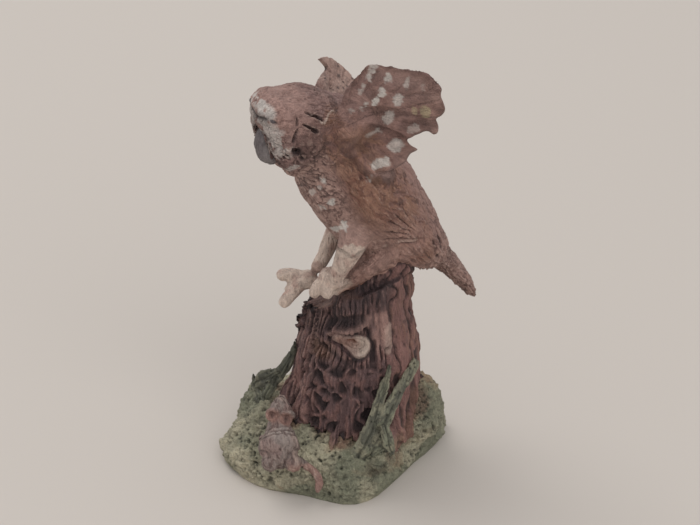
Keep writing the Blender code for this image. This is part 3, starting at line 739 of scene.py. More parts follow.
def tool_owl(owl):
    """Marks and paints the owl."""
    points = owl.points
    drift, by = partial(fields, points), partial(near, points)
    height = points[:, 2]
    lie = spine_places(points)
    forward, along = lie[:, 1], lie[:, 2]
    belly = ramp(forward, -1.5, 1.5)
    wings = {name: owl.on(name, 0.8) for name in SHEETS}
    left_wing, far_wing = wings.values()
    on_wing = most(left_wing, far_wing)
    foot, thigh, hips = [
        most(owl.on(f"owl_{part}_left", reach), owl.on(f"owl_{part}_right", reach))
        for part, reach in (("foot", 0.7), ("leg", 0.4), ("leg", 0.9))
    ]
    thigh *= fade(height + drift(0.9, 23), 21.6, 22.5)
    skirt = by(trace("owl_trunk", THIGH[0][0]), 0.9, 1.2) * fade(height, 20.2, 21.4)
    thigh *= 1 - skirt
    leg = most(foot, thigh)
    body = (1 - on_wing) * (1 - leg)
    head = body * fade(along, 5.5, 7.5)
    crown = head * ramp(-forward, -0.5, 1.0)
    nape = body * between(along, 2.5, 9.5, 1.0) * (1 - belly)
    breast = body * between(along, 3.0, 16.0, 1.8) * ramp(forward, 0.2, 2.4)
    back = body * ramp(along, 5.0, 8.0) * (1 - breast)
    rump = body * ramp(along, 17.0, 20.0)
    tail = rump * ramp(along, 20.0, 21.5)
    flank = back * between(along, 8.5, 18.0, 2.0) * between(forward, -1.6, 2.0, 0.9)
    chest = breast * (1 - flank)
    shell = most(chest, head * belly, tail)

    # The marks of the tools: curls on the throat and breast, strokes down the back, pricks on the crown.
    warp = warps(points, 0.9, 3, 4, 6)
    winding = fields(points + warp * 0.4, 2.7, 1, 1)
    worms = fade(np.abs(winding), 0.05, 0.24) * ramp(drift(1.5, 2, 1), -0.4, -0.15) * (1 - hips)
    strokes = fields(lie + warp * 0.35, 2.4, 5, 3, (1, 1, 0.16))
    scores = fade(np.abs(fields(lie + warp * 0.3, 1.9, 11, 2, (1, 1, 0.14))), 0.02, 0.10)
    strand = fields(lie + warp * 0.5, 1.2, 40, 1, (1, 1, 0.4))
    strands = fade(np.abs(strand), 0.02, 0.10) * ramp(drift(1.1, 41), -0.2, 0.0)
    dash = cells(points + warp * 0.2, 1.9, 7, (1, 1.6, 0.7))[0]
    dashes = fade(dash, 0.09, 0.21)
    stipples = fade(cells(points, 2.4, 9)[0], 0.12, 0.28)
    off = points - np.array(inside("owl_trunk", *FAN))
    fan_turn = np.arctan2(off[:, 1], off[:, 2])
    fan = between(np.hypot(off[:, 1], off[:, 2]), 0.9, 3.6, 0.4) * between(np.degrees(fan_turn), -95, -12, 9)
    fan *= ramp(-np.abs(off[:, 0]), -9, -8)
    fan *= fade(np.abs(np.sin(fan_turn * 13 + warp[:, 0] * 0.5)), 0.10, 0.38) * flank
    tiers = np.zeros(len(points))
    flow = lie.copy()
    flow[:, 2] *= 1 + 2.5 * most(head, breast)
    for name, mask in wings.items():
        polar = wing_places(points, name)
        share = (polar[:, 0] + 0.03 * warp[:, 1]) / 0.19
        edge = np.abs(share - np.round(share)) * 0.19 * polar[:, 2]
        tiers = most(tiers, mask * fade(edge, 0.02, 0.16) * between(polar[:, 2], 3.4, 6.8, 1.2))
        flow = turned(flow, mask * ramp(polar[:, 2], 1.8, 3.6), polar * (2.6, 0.4, 1.2), points, wing_sheet(name)[0])
    for end in ("left", "right"):
        mask = leg * most(owl.on(f"owl_leg_{end}", 0.7), owl.on(f"owl_foot_{end}", 0.9))
        flow = turned(flow, mask, points, points, inside(f"owl_leg_{end}", 50, 50, 60))
    owl.flow = flow
    depth = -0.10 * worms * shell + 0.14 * strokes * back + 0.05 * strokes * flank
    depth -= 0.06 * scores * most(nape, back * (1 - belly)) + 0.10 * dashes * crown * 0.6 + 0.16 * fan
    depth -= 0.07 * stipples * far_wing + 0.06 * tiers + 0.06 * strands * most(crown, nape)
    depth += (0.08 * drift(0.7, 12) + 0.04 * drift(2.4, 13)) * body
    depth += 0.05 * drift(1.1, 14, 3) * (on_wing + leg)
    rim = left_wing * most(*[by([*outline, outline[0]], 0.4, 0.9) for outline, _ in tier_outlines()[0]])
    owl.push(depth * (1 - 0.8 * rim))
    owl.iron(rim, 12)

    # The face: the top of the head thumbed down, the sides of the beak pressed in.
    top = by(trace("owl_head", ((35, 40, 100), (65, 40, 100))), 0.5, 3.0)
    press = either_side(lambda mirrored: by(trace("owl_head", ((64, 4, 54), (68, 11, 30)), mirrored), 0.3, 1.3))
    front = by(trace("owl_head", ((20, 5, 98), (50, 5, 98))), 0.3, 1.7)
    foot_left = distance(points, inside("owl_foot_left", 90, 82, 42))
    owl.push(-0.20 * top - 0.28 * press - 0.26 * front - 0.5 * fade(foot_left, 0.3, 1.0))
    shaped = owl.points
    line, brow, cheek = [
        either_side(lambda mirrored: near(shaped, trace("owl_head", places, mirrored), inner, outer))
        for places, inner, outer in ((EYE_LINE, 0.05, 0.22), (BROW, 0.35, 0.85), (CHEEK, 0.55, 1.3))
    ]
    cut = np.zeros(len(points))
    for mirrored in (False, True):
        for node, slots in (("owl_head", SLOTS), ("owl_trunk", TAIL_SLOTS)):
            for start, end, half, deep in slots:
                cut = most(cut, groove(shaped, *trace(node, (start, end), mirrored), half, deep))
        edge = trace("owl_trunk", BELLY_LINE, mirrored)
        for step in (0.0, 0.42):
            cut = most(cut, 0.1 * near(shaped, [p + UP * step for p in edge], 0.03, 0.14))
    owl.push(0.10 * brow + 0.12 * cheek - 0.14 * line - cut)

    # Paint, in layers: the grounds of the body, the wings and the head.
    shaped, brush = owl.points, owl.brush
    left_places = wing_places(points, "owl_wing_left")
    mottled = drift(0.5, 21)
    hairy = fields(lie + warp * 0.5, 2.6, 27, 3, (1, 1, 0.2))
    ragged = drift(2.4, 31) * 0.17
    brush(CHESTNUT)
    brush(TAWNY, body * ramp(mottled + 0.5 * ramp(along, 12, 19), -0.2, 0.5) * 0.75)
    brush(PLUM, most(breast * 0.9, back * ramp(-forward, -0.6, 2.2) * 0.8))
    brush(ROSE, back * ramp(-forward + mottled, 1.0, 3.2) * 0.5)
    brush(PLUM, on_wing * (0.85 + mottled * 0.4))
    brush(SAND, left_wing * ramp(left_places[:, 2], 4.0, 9.0) * 0.3)
    brush(CHESTNUT, skirt * 0.9)
    brush(PLUM, head * 0.9)
    brush(UMBER, head * between(along, 4.0, 7.0, 1.2) * belly * 0.35)
    brush(ROSE, crown * ramp(3.2 - along + mottled, -0.8, 1.4) * 0.85)
    brush(ROSE, far_wing * 0.9)
    brush(SAND, far_wing * 0.55)
    brush(ROSE, rump * ramp(forward + mottled, -0.5, 2.0) * 0.7)
    side = by(trace("owl_trunk", SIDE), 1.4, 3.6) * ramp(0.6 - on_wing + mottled * 0.6, 0.0, 0.6)
    root = by(trace("owl_wing_left", ROOT), 1.2, 2.8)
    side = most(side, root * ramp(root + mottled * 0.6, 0.1, 0.5))
    brush(CHESTNUT, side * (0.65 + hairy * 0.5))
    brush(TAWNY, side * ramp(hairy + mottled * 0.5, -0.3, 0.3) * 0.9)
    brush(UMBER, side * ramp(-hairy, 0.25, 0.6) * 0.3)
    brush(ROSE, side * fade(height, 21.5, 26.5) * 0.7)
    brush(ROSE, most(tail * 0.8, chest * 0.75))
    brush(SAND, (tail + chest) * 0.2)
    for mirrored in (False, True):
        brush(UMBER, by(trace("owl_head", ((93, 32, 70), (92, 36, 42)), mirrored), 0.7, 2.2) * (0.4 + mottled * 0.4))
    brush(PLUM, press * 0.7)
    brush(TAWNY, fade(foot_left, 0.7, 1.1) * 0.85)

    # The legs, then the dark marks and the light between them.
    near_leg = owl.on("owl_leg_left", 0.5) * leg
    brush(SAND, leg * 0.9)
    brush(ROSE, leg * ramp(drift(0.9, 24), 0.0, 0.6) * 0.4)
    brush(CREAM, leg * ramp(drift(0.8, 28), -0.1, 0.4) * 0.5)
    brush(CREAM, leg * (1 - near_leg) * ramp(drift(0.7, 29), -0.4, 0.1) * 0.9)
    brush(CREAM, near_leg * ramp(drift(1.1, 25), -0.3, 0.3) * 0.8)
    brush(CREAM, foot * ramp(drift(0.8, 26), 0.0, 0.35) * 0.8)
    brush(UMBER, near_leg * most(stipples, fade(dash, 0.12, 0.26)) * 0.5)
    brush(UMBER, most(
        dashes * (crown * 0.5 + left_wing * 0.2), worms * most(shell * 0.6, crown * 0.2),
        scores * most(nape * 0.6, back * (0.65 - flank * 0.4)), strands * most(crown * 0.4, nape * 0.55),
    ))
    brush(SAND, ramp(winding, 0.28, 0.5) * shell * 0.35)
    brush(SOOT, worms * most(head * belly, breast * fade(along, 8, 12)) * 0.45)
    ticks = most(fade(cells(points, 2.4, 36, (1, 1, 0.75))[0], 0.20, 0.38), worms * 0.35)
    brush(SOOT, ticks * far_wing * fade(height, 34.2, 34.9) * 0.8)
    brush(UMBER, tiers * 0.35)
    bars = ramp(fields(left_places, 0.55, 33, 2, (2.5, 0.3, 1.6)), -0.2, 0.4)
    brush(ROSE, left_wing * bars * 0.45)
    brush(UMBER, left_wing * (1 - bars) * ramp(drift(0.7, 37), -0.2, 0.3) * 0.3)
    uneven = ramp(0.55 + drift(1.2, 38), 0.0, 0.5)
    # Painted shadow under each upper tier's lower edge, uneven in strength.
    for step in STEP_SHADOWS:
        brush(UMBER, by(trace("owl_wing_left", step), 0.25, 1.0) * uneven * left_wing * 0.6)

    # The face, the folds and the pale dabs.
    ragged_face = ramp(drift(1.2, 34, 3) + 0.4 * most(brow, cheek), 0.0, 0.3)
    brush(CHALK, most(brow * 0.9, cheek * 0.75) * ragged_face)
    brush(UMBER, cheek * fade(np.abs(drift(2.4, 35, 1)), 0.0, 0.14) * 0.5)
    brush(SLATE, by(trace("owl_head", EYE_LINE[:3]), 0.1, 0.7) * 0.35)
    brush(SOOT, most(line * 0.85, np.minimum(cut * 4, 0.9), fan * 0.75))
    for ends in zip(BELLY_LINE, BELLY_LINE[1:]):
        fold = [place + UP * 0.2 for place in trace("owl_trunk", ends)]
        brush(SAND, near(shaped, fold, 0.03, 0.22) * 0.6)
    for node, start, end, radius, thickness in DABS:
        for mirrored in (False, True):
            far = distance(shaped, *trace(node, (start, end), mirrored))
            brush(CHALK, ramp(radius + ragged - far, -0.05, 0.10) * min(1.0, thickness * 1.2))
    patch = near(shaped, trace("owl_leg_left", ((73, 22, 61), (92, 41, 66), (97, 65, 61))), 0.0, 1.0)
    brush(CREAM, ramp(0.45 + ragged * 2 - (1 - patch), -0.1, 0.1) * 0.9)
    brush(CREAM, near(shaped, trace("owl_leg_left", ((59, 18, 62), (40, 10, 45), (34, 10, 35))), 0.1, 0.3) * 0.8)
    for name, mask in wings.items():
        right = name == "owl_wing_right"  # its spots are faint, and on its outer face alone
        hub, _, normal = [np.array(v) for v in wing_sheet(name)]
        flat = shaped - np.outer((shaped - hub) @ normal, normal)
        outward = owl.normals @ normal
        mask = mask * ramp(outward if right else np.abs(outward), 0.2, 0.5)
        for start, end, radius, colour, thickness in SPOTS:
            ends = [np.array(p) for p in trace(name, (start, end), right)]
            far = distance(flat, *[p - normal * ((p - hub) @ normal) for p in ends])
            brush(colour, ramp(radius + ragged * 1.6 - far, -0.10, 0.14) * mask * thickness * (0.35 if right else 1.0))
    glinting_threads = most(*[near(shaped, trace("owl_head", places), 0.03, 0.12) for places in GLINTING_THREADS])
    owl.push(0.10 * glinting_threads)
    # Painted highlight: pale paint on the varnish threads for their glint.
    brush(CREAM, glinting_threads * ramp(drift(1.6, 39), -0.2, 0.2) * 0.9)
    owl.gloss = np.clip(near(owl.points, inside("owl_head", 88, 57, 75), 0.5, 1.5) * 0.9 + flank * 0.35, 0, 1)


def make_beak():
    bm = bmesh.new()
    places, widths, depths = BEAK
    limb(bm, trace("owl_beak", places), widths, depths, steps=6, segments=20)
    beak = Clay("owl_beak_horn", bm, 0.06, 2)
    points = beak.points
    x, _, z = points.T
    drift, brush = partial(fields, points), beak.brush
    beak.push(0.06 * drift(1.4, 90, 3))
    middle = inside("owl_beak", 50, 0, 50).x
    brush(SLATE)
    # Painted light and shade: a little paler towards +X, darker at the bottom and towards -X.
    brush(CHALK, ramp(x + 0.3 * drift(0.8, 92), middle + 0.2, middle + 1.2) * 0.12)
    brush(SOOT, fade(z, 30.0, 31.2) * 0.4)
    brush(SOOT, ramp(middle + 0.1 - x, 0.0, 0.5) * 0.6)
    brush(SOOT, ramp(drift(1.6, 93, 2, (1, 1, 0.4)), 0.0, 0.4) * 0.4)
    return beak


def make_eye(side, owl):
    """A small glossy bead that shows in the slit."""
    bm = bmesh.new()
    a, b = trace("owl_head", EYE_LINE[2:], side == "right")
    nearest = np.argmin(distance(owl.points, a.lerp(b, 0.3)))
    egg(bm, owl.points[nearest] - owl.normals[nearest] * 0.22, (0.34, 0.34, 0.27))
    bead = Clay(f"owl_eye_{side}_bead", bm, 0.05, 1)
    bead.brush(SOOT)
    bead.brush(SLATE, ramp(fields(bead.points, 1.5, 91), -0.2, 0.3) * 0.5)
    bead.gloss = np.ones(len(bead.points))
    return bead


owl = make_owl()
horn = painted("horn_paint", SOOT, SLATE, 0.45, bump=0.1)
make_beak().finish(horn, "beak", "owl_beak")
for side in ("left", "right"):
    make_eye(side, owl).finish(horn, "eye", f"owl_eye_{side}")
owl.finish(painted("owl_paint", UMBER, SAND, contrast=0.8), "owl", *OWL_NODES)


# ---- The stump --------------------------------------------------------------------------------------------

STUMP_FOOT, STUMP_TOP = inside("stump", 44, 50, 0), inside("stump", 44, 55, 100)
KNOT = inside("stump_knot", 58, 56, 36)
KNOT_FACING = Vector((0.9, -0.42, 0.0)).normalized()
SIDEWAYS = UP.cross(KNOT_FACING)
# Shapes round the knot, in millimetres sideways and up from it. Its cut face is a drop between two circles.
DROP = (((0.45, 0.02), 1.06), ((-1.25, 0.46), 0.45))
LID = ((-1.9, 0.75), (-1.0, 1.20), (0.3, 1.55), (1.15, 2.0), (1.3, 2.6))
TEAR = ((-3.2, 0.45), (-2.4, 0.1), (-1.5, -0.4), (-0.7, -1.0))
# Just under the torn ledge: pressed in a little and painted dark as its shadow.
TEAR_SHADOW = [(x, y - 0.38) for x, y in TEAR]
CORE = ((-0.35, 0.55), (0.05, 0.62), (0.2, 0.35))
DRIP = ((2.3, 2.2), (2.45, 1.5), (2.5, 0.6))
SHADE = ((-1.6, 3.6), (0.0, 4.0), (2.2, 4.0), (2.6, 5.0))
TONGUE = ((2.9, 1.5), (2.95, -0.55))


def make_stump():
    bm = bmesh.new()
    lay_nodes(bm, ("stump",))
    for up, out, radius in ((1.9, 1.75, 1.85), (3.0, 1.9, 1.7), (1.2, 1.7, 1.8)):  # fills the frame's hollow
        egg(bm, KNOT + UP * up - KNOT_FACING * out, (radius,) * 3)
    brim = trace("stump", ((66, 45, 95), (69, 62, 101), (69, 75.5, 103), (67, 85.5, 99)))
    limb(bm, brim, (0.55, 0.62, 0.65, 0.6))
    egg(bm, inside("stump", 56, 72, 95.5), (2.1, 2.3, 1.0))
    nub = inside("stump_nub", 72, 88, 24)
    limb(bm, (nub + Vector((0.4, 0.9, -0.1)), nub, nub - Vector((0.35, 0.5, -0.1))), (0.5, 0.36, 0.28))
    limb(bm, trace("stump", ((40, 16, 42), (34, 12, 28), (28, 10, 10))), (0.5, 1.0, 1.2))
    for turn in (0.35, 1.2, 2.1, 3.0, 3.9, 5.65):  # roots that run out over the moss
        out = Vector((math.cos(turn), math.sin(turn), 0))
        start = STUMP_FOOT + out * 4.8 + UP * 2.8
        limb(bm, (start, start + out * 1.0 - UP * 1.3, start + out * 1.7 - UP * 2.2), (0.7, 0.65, 0.4))
    stump = Clay("stump_bark", bm)
    stump.push(-SWELL * SHRINK)
    tool_stump(stump)
    return stump


def unrolled(points):
    """Turn about the stump in degrees, and share of its height."""
    share = (points[:, 2] - STUMP_FOOT.z) / (STUMP_TOP.z - STUMP_FOOT.z)
    off = points - np.outer(1 - share, np.array(STUMP_FOOT)) - np.outer(share, np.array(STUMP_TOP))
    return np.degrees(np.arctan2(off[:, 1], off[:, 0])), share


def knot_places(points):
    """How far points are sideways, up and out from the knot."""
    offset = points - np.array(KNOT)
    return offset @ np.array(SIDEWAYS), offset[:, 2], offset @ np.array(KNOT_FACING)


def tool_stump(stump):
    """Marks and paints the bark, the cut top and the knot."""
    turn, share = unrolled(stump.points)
    stump.push(-0.42 * (between(turn, -160, -75, 18) * between(share, 0.25, 0.95, 0.12)))
    a, b, out = knot_places(stump.points)
    stump.iron(ramp(out, -3.6, -2.4) * fade(np.hypot(a / 3.0, (b - 0.9) / 3.2), 0.7, 1.0), 260)

    points = stump.points
    drift, brush = partial(fields, points), stump.brush
    turn, share = unrolled(points)
    around = np.c_[np.cos(np.radians(turn)) * 5, np.sin(np.radians(turn)) * 5, points[:, 2]]
    stump.flow = around
    bark = 1 - ramp(stump.normals[:, 2], 0.6, 0.85) * ramp(share, 0.7, 0.8)
    warp = warps(points, 0.5, 60, 61, 62)

    # Where each kind of bark lies: narrow slats in front, pits low under the knot, planks on the left side.
    planks = between(turn, 12, 100, 7)
    pitted = between(turn, -66, 10, 10) * between(share, 0.14, 0.54, 0.05)
    slats = bark * (1 - planks) * (1 - pitted)
    planks = planks * bark
    pitted = pitted * bark
    slat = np.abs(fields(around + warp * 0.25, 2.0, 41, 2, (1, 1, 0.045)))
    narrow = fade(slat, 0.05, 0.24)
    lips = between(slat, 0.26, 0.5, 0.06)
    first, second = cells(around + warp * 0.6, 0.62, 8, (1, 1, 0.10))
    seams = fade(second - first, 0.03, 0.16)
    fine = fields(around, 3.4, 42, 3, (1, 1, 0.14))
    flakes = fields(around + warp, 0.9, 43, 3, (1, 1, 0.45))
    first, second = cells(around + warp * 0.5, 0.80, 3, (1, 1, 0.7))
    holes = between(second - first, 0.16, 3.0, 0.10) * ramp(fields(around, 0.5, 48), -0.3, 0.1)
    pricks = fade(cells(around, 1.9, 4, (1, 1, 0.6))[0], 0.10, 0.24)
    steady = 1 - 0.6 * fade(turn, -120, -85)
    brow_band = between(share, 0.78, 1.1, 0.05)
    depth = slats * steady * (-0.40 * narrow * (1 - 0.5 * brow_band) + 0.10 * lips + 0.10 * fine + 0.08 * flakes)
    depth += planks * (-0.20 * seams + 0.10 * fine + 0.10 * flakes - 0.10 * pricks)
    depth += pitted * (-0.38 * holes - 0.12 * narrow + 0.12 * flakes + 0.08 * fine - 0.08 * pricks)
    depth += (1 - bark) * (0.05 * drift(1.2, 44))

    # The knot looks out of the bark like an eye: a cut face with rings, a groove round it, a lid and a recess.
    a, b, out = knot_places(points)
    plan = np.c_[a, b]
    front = ramp(out, -2.6, -1.8)
    (wide, radius), (tip, tip_radius) = DROP
    drop, t = off_line(plan, wide, tip)
    drop -= radius + (tip_radius - radius) * t
    face = front * fade(drop, -0.12, 0.02)
    round_knot = front * between(drop, 0.0, 0.22, 0.07)
    lid, tear, tear_shadow, core, drip, shade, tongue = [
        front * near(plan, line, inner, outer) for line, inner, outer in (
            (LID, 0.08, 0.36), (TEAR, 0.05, 0.32), (TEAR_SHADOW, 0.05, 0.3), (CORE, 0.05, 0.24), (DRIP, 0.5, 0.95),
            (SHADE, 0.5, 1.5), (TONGUE, 0.16, 0.42),
        )
    ]
    shaded_recess = front * fade(np.hypot((a + 0.40 - (b - 2.3) * 0.5) / 1.55, (b - 2.25 - a * 0.15) / 0.72), 0.55, 1.15)
    calm = np.clip(face + round_knot + lid * 0.8 + shaded_recess * 0.5, 0, 1)
    drip = drip * (1 - calm)
    rings = np.cos(np.hypot(a - 0.25, (b - 0.15) * 1.2) * 12 + warp[:, 0])
    depth = depth * (1 - calm) * (1 - drip * 0.8) * (1 - shade * 0.35)
    depth = depth + face * (0.10 + 0.03 * rings) - core * 0.2 - round_knot * 0.16
    depth += lid * 0.15 + tear * 0.08 - tear_shadow * 0.1 - shaded_recess * 0.5 + drip * 0.06 + tongue * 0.16
    stump.push(depth)

    # Paint: the bark from its light to its dark parts, then the cut top.
    blotch = drift(0.4, 45)
    belly_shade = ramp(points[:, 1], -3.5, 0.0)
    crown_shade = bark * between(share, 0.66, 1.1, 0.06) * (1 - planks * 0.7) * (1 - drip)
    brush(BARK)
    brush(RUST, bark * ramp(fine + flakes * 1.3 + blotch * 0.5, -0.25, 0.5) * 0.75)
    brush(RUST, planks * 0.9)
    brush(TAWNY, planks * ramp(fine + blotch, 0.0, 0.5) * 0.4)
    brush(ROSE, slats * lips * ramp(blotch, -0.4, 0.3) * (1 - shade * 0.8) * 0.5)
    # The cut top: painted shade on its back part, under the owl's belly, and tawny in front.
    brush(SOOT, (1 - bark) * 0.6 * belly_shade)
    brush(TAWNY, (1 - bark) * (1 - belly_shade) * 0.6)
    brush(CHESTNUT, (1 - bark) * ramp(blotch + drift(1.3, 47), -0.1, 0.4) * 0.5)
    # Painted shade: the top band of the bark under the owl, and the bark above the knot.
    brush(SOOT, most(crown_shade * 0.48, shade * 0.58))
    brush(SOOT, np.clip(slats * narrow + planks * seams + pitted * holes, 0, 1) * 0.85)
    brush(SOOT, (planks + pitted) * pricks * 0.6)
    brush(SOOT, pitted * holes * 0.5)
    brush(SOOT, pitted * 0.25)
    brush(PLUM, crown_shade * pricks * 0.6)

    # Soil at its foot and the pale streaks beside the knot, then the knot.
    behind = near(points, inside("stump", 79, 81, 20), 0.8, 2.2)
    brush(EARTH, fade(share, 0.03, 0.20) * ramp(blotch, -0.2, 0.3) * 0.7)
    brush(STRAW, fade(share, 0.0, 0.14) * ramp(drift(0.7, 46), 0.05, 0.3) * 0.7)
    brush(ROSE, drip * (0.65 + 0.4 * fine) * 0.8)
    brush(SAND, tongue * 0.6)
    brush(EARTH, front * fade(np.hypot((a + 2.8) / 1.8, (b + 0.7) / 1.1), 0.4, 1.0) * (1 - calm) * 0.8)
    brush(EARTH, behind * ramp(fine + flakes, -0.3, 0.2) * 0.8)
    brush(ROSE, most(lid * 0.5, tear * 0.4))
    brush(SAND, face * 0.85)
    brush(PINK, face * fade(np.hypot((a + 0.7) / 1.2, b - 0.3), 0.3, 1.0) * 0.75)
    brush(CREAM, face * ramp(a - 0.2 + np.abs(b) * 0.25, 0.2, 0.8) * 0.9)
    brush(UMBER, face * ramp(-rings, 0.55, 0.95) * 0.35)
    brush(CHESTNUT, core)
    # Painted shadow: the groove round the knot darker towards its lower side; painted shade in the recess above the
    # knot.
    brush(SOOT, most(round_knot * (0.12 + 0.6 * ramp(a * 0.3 - b, -0.1, 0.7)), shaded_recess * 0.75))
    # Painted shadow under the torn ledge.
    brush(SOOT, tear_shadow * 0.6)
    stump.gloss = (1 - bark) * 0.25 + shaded_recess * 0.3


bark_paint = painted("bark_paint", SOOT, ROSE, 0.66, 3.6, (1, 1, 0.22), depth=5.0, contrast=1.0, bump=0.45)
make_stump().finish(bark_paint, "bark", "stump", "stump_knot", "stump_nub")


# ---- The mound --------------------------------------------------------------------------------------------

# Patches of paint on the mound: both ends, inner and outer reach, paint and thickness.
PATCHES = (
    ((44, 3, 36), (30, 6, 31), 0.8, 3.2, LIME, 0.9), ((62, 4, 19), (44, 3, 36), 0.3, 2.0, LIME, 0.6),
    ((29, 17, 61), (16, 18, 49), 0.6, 2.2, FERN, 0.85), ((100, 43, 6), (100, 44, 20), 0.3, 1.2, LIME, 0.6),
    ((92, 40, 51), (98, 56, 30), 0.3, 1.8, FERN, 0.5), ((94, 50, 45), (86, 72, 55), 0.6, 1.8, FERN, 0.6),
    ((79, 84, 76), (71, 91, 21), 0.9, 2.4, FERN, 0.7), ((77, 80, 86), (82, 76, 80), 0.5, 1.3, EARTH, 0.9),
    ((67, 88, 95), (56, 90, 93), 0.2, 1.2, STRAW, 0.9), ((98, 37, 21), (90, 30, 24), 0.4, 1.4, FERN, 0.45),
    ((99, 49, 36), (94, 54, 45), 0.4, 1.2, PINE, 0.35), ((72, 24, 63), (76, 27, 62), 0.6, 1.8, LIME, 0.5),
    ((53, 6, 45), (47, 6, 38), 0.2, 1.0, FERN, 0.7),
)


def make_mound():
    bm = bmesh.new()
    lay_nodes(bm, ("ground",), 0.06)
    egg(bm, inside("ground", 94, 53, 44), (0.9, 1.4, 0.85))  # covers the foot of the stump at the tall leaf
    mound = Clay("mound", bm, 0.11)
    mound.push(-0.75 * near(mound.points, trace("ground", ((10, 12, 62), (22, 6, 66))), 0.8, 3.0))
    points = mound.points
    drift, brush = partial(fields, points), mound.brush
    above = ramp(points[:, 2], 0.15, 0.9)
    warp = warps(points, 1.1, 63, 64, 65)
    clods = cells(points + warp * 0.3, 0.75, 6)[0]
    hole = fade(cells(points + warp * 0.3, 1.5, 5)[0], 0.14, 0.34)
    prick = fade(cells(points, 2.4, 8)[0], 0.16, 0.36)
    rough = most(ramp(drift(0.35, 55), -0.1, 0.15), near(points, inside("ground", 74, 28, 63), 0.9, 1.9))
    hatch = fade(np.abs(fields(points + warp * 0.6, 0.9, 57, 1, (1, 0.45, 1.3))), 0.02, 0.09)
    hatch = hatch * ramp(drift(0.5, 58), -0.1, 0.1) * above
    depth = 0.32 * drift(0.32, 51, 2) + 0.26 * (0.5 - clods) + 0.22 * drift(2.6, 52, 3)
    mound.push(above * (depth - rough * (0.30 * hole + 0.16 * prick) - 0.10 * hatch))
    brush(MOSS)
    brush(LIME, ramp(drift(0.28, 53) + 0.1, -0.1, 0.3) * 0.8)
    brush(FERN, ramp(drift(0.27, 54), 0.0, 0.25) * 0.85)
    # Painted shade: darker green low down on the +X side, away from the key light.
    brush(FERN, fade(points[:, 2], 0.3, 1.4) * ramp(points[:, 0], 0, 6) * 0.5)
    by_stump = mound.on("stump", 2.2)
    soil = drift(0.6, 56)
    brush(STRAW, ramp(by_stump + soil, 0.5, 1.0) * 0.6)
    brush(EARTH, ramp(by_stump + soil * 0.8, 0.8, 1.2) * 0.75)
    for start, end, inner, outer, colour, thickness in PATCHES:
        far = distance(points, *trace("ground", (start, end))) + 0.5 * warp[:, 0]
        brush(colour, fade(far, inner, outer) * thickness)
    brush(FERN, rough * above * 0.3)
    brush(PINE, most(prick * 0.8, hole * 0.95) * rough * above)
    brush(PINE, (1 - rough) * prick * 0.2 * above)
    brush(PINE, hatch * 0.45)
    return mound


moss_paint = painted("moss_paint", PINE, LIME, 0.8, 3.6, (1, 1, 1), depth=3.6, contrast=0.9, bump=0.4)
make_mound().finish(moss_paint, "moss", "ground")


# ---- The leaves -------------------------------------------------------------------------------------------

# The way each leaf faces, and its blades: places along the middle of each in the leaf's box, and half widths.
LEAVES = {
    "leaf_tall": ((0.82, 0.30, 0.35), (
        (((16, 93, 93), (41, 78, 87), (56, 63, 79), (74, 43, 71), (87, 26, 60),
          (97, 12, 48), (102, 3, 31), (108, -7, 13), (102, -11, -1)),
         (0.42, 0.50, 0.54, 0.58, 0.64, 0.70, 0.75, 0.75, 0.6)),
    )),
    "leaf_slender": ((0.90, -0.20, 0.30), (
        (((17, 97, 97), (32, 89, 86), (46, 74, 72), (61, 60, 59), (75, 46, 43),
          (83, 28, 27), (83, 11, 12), (68, -1, 0)),
         (0.12, 0.24, 0.38, 0.48, 0.60, 0.74, 0.80, 0.62)),
        (((78, 48, 42), (92, 58, 27), (98, 64, 10), (95, 66, -3)), (0.3, 0.65, 0.85, 0.8)),
    )),
    "leaf_drooping": ((0.90, -0.25, 0.35), (
        (((47, 12, 78), (69, 16, 59), (91, 24, 33), (98, 39, 7), (73, 54, -18)),
         (0.22, 0.42, 0.48, 0.34, 0.10)),
    )),
    "leaf_left": ((0.50, -0.80, 0.25), (
        (((68, 110, 92), (79, 94, 77), (70, 70, 59), (56, 48, 44), (35, 28, 27),
          (24, 5, 4)), (0.12, 0.36, 0.46, 0.52, 0.60, 0.5)),
        (((58, 47, 46), (27, 27, 38), (-4, 10, 27), (-39, -1, 14), (-62, -10, 1)),
         (0.30, 0.62, 0.75, 0.62, 0.30)),
    )),
    "leaf_spike": ((0.40, -0.60, 0.60), (
        (((2, 22, 103), (27, 13, 69), (65, 0, 35), (120, -4, 14), (158, 4, 1)),
         (0.07, 0.26, 0.40, 0.40, 0.20)),
    )),
}


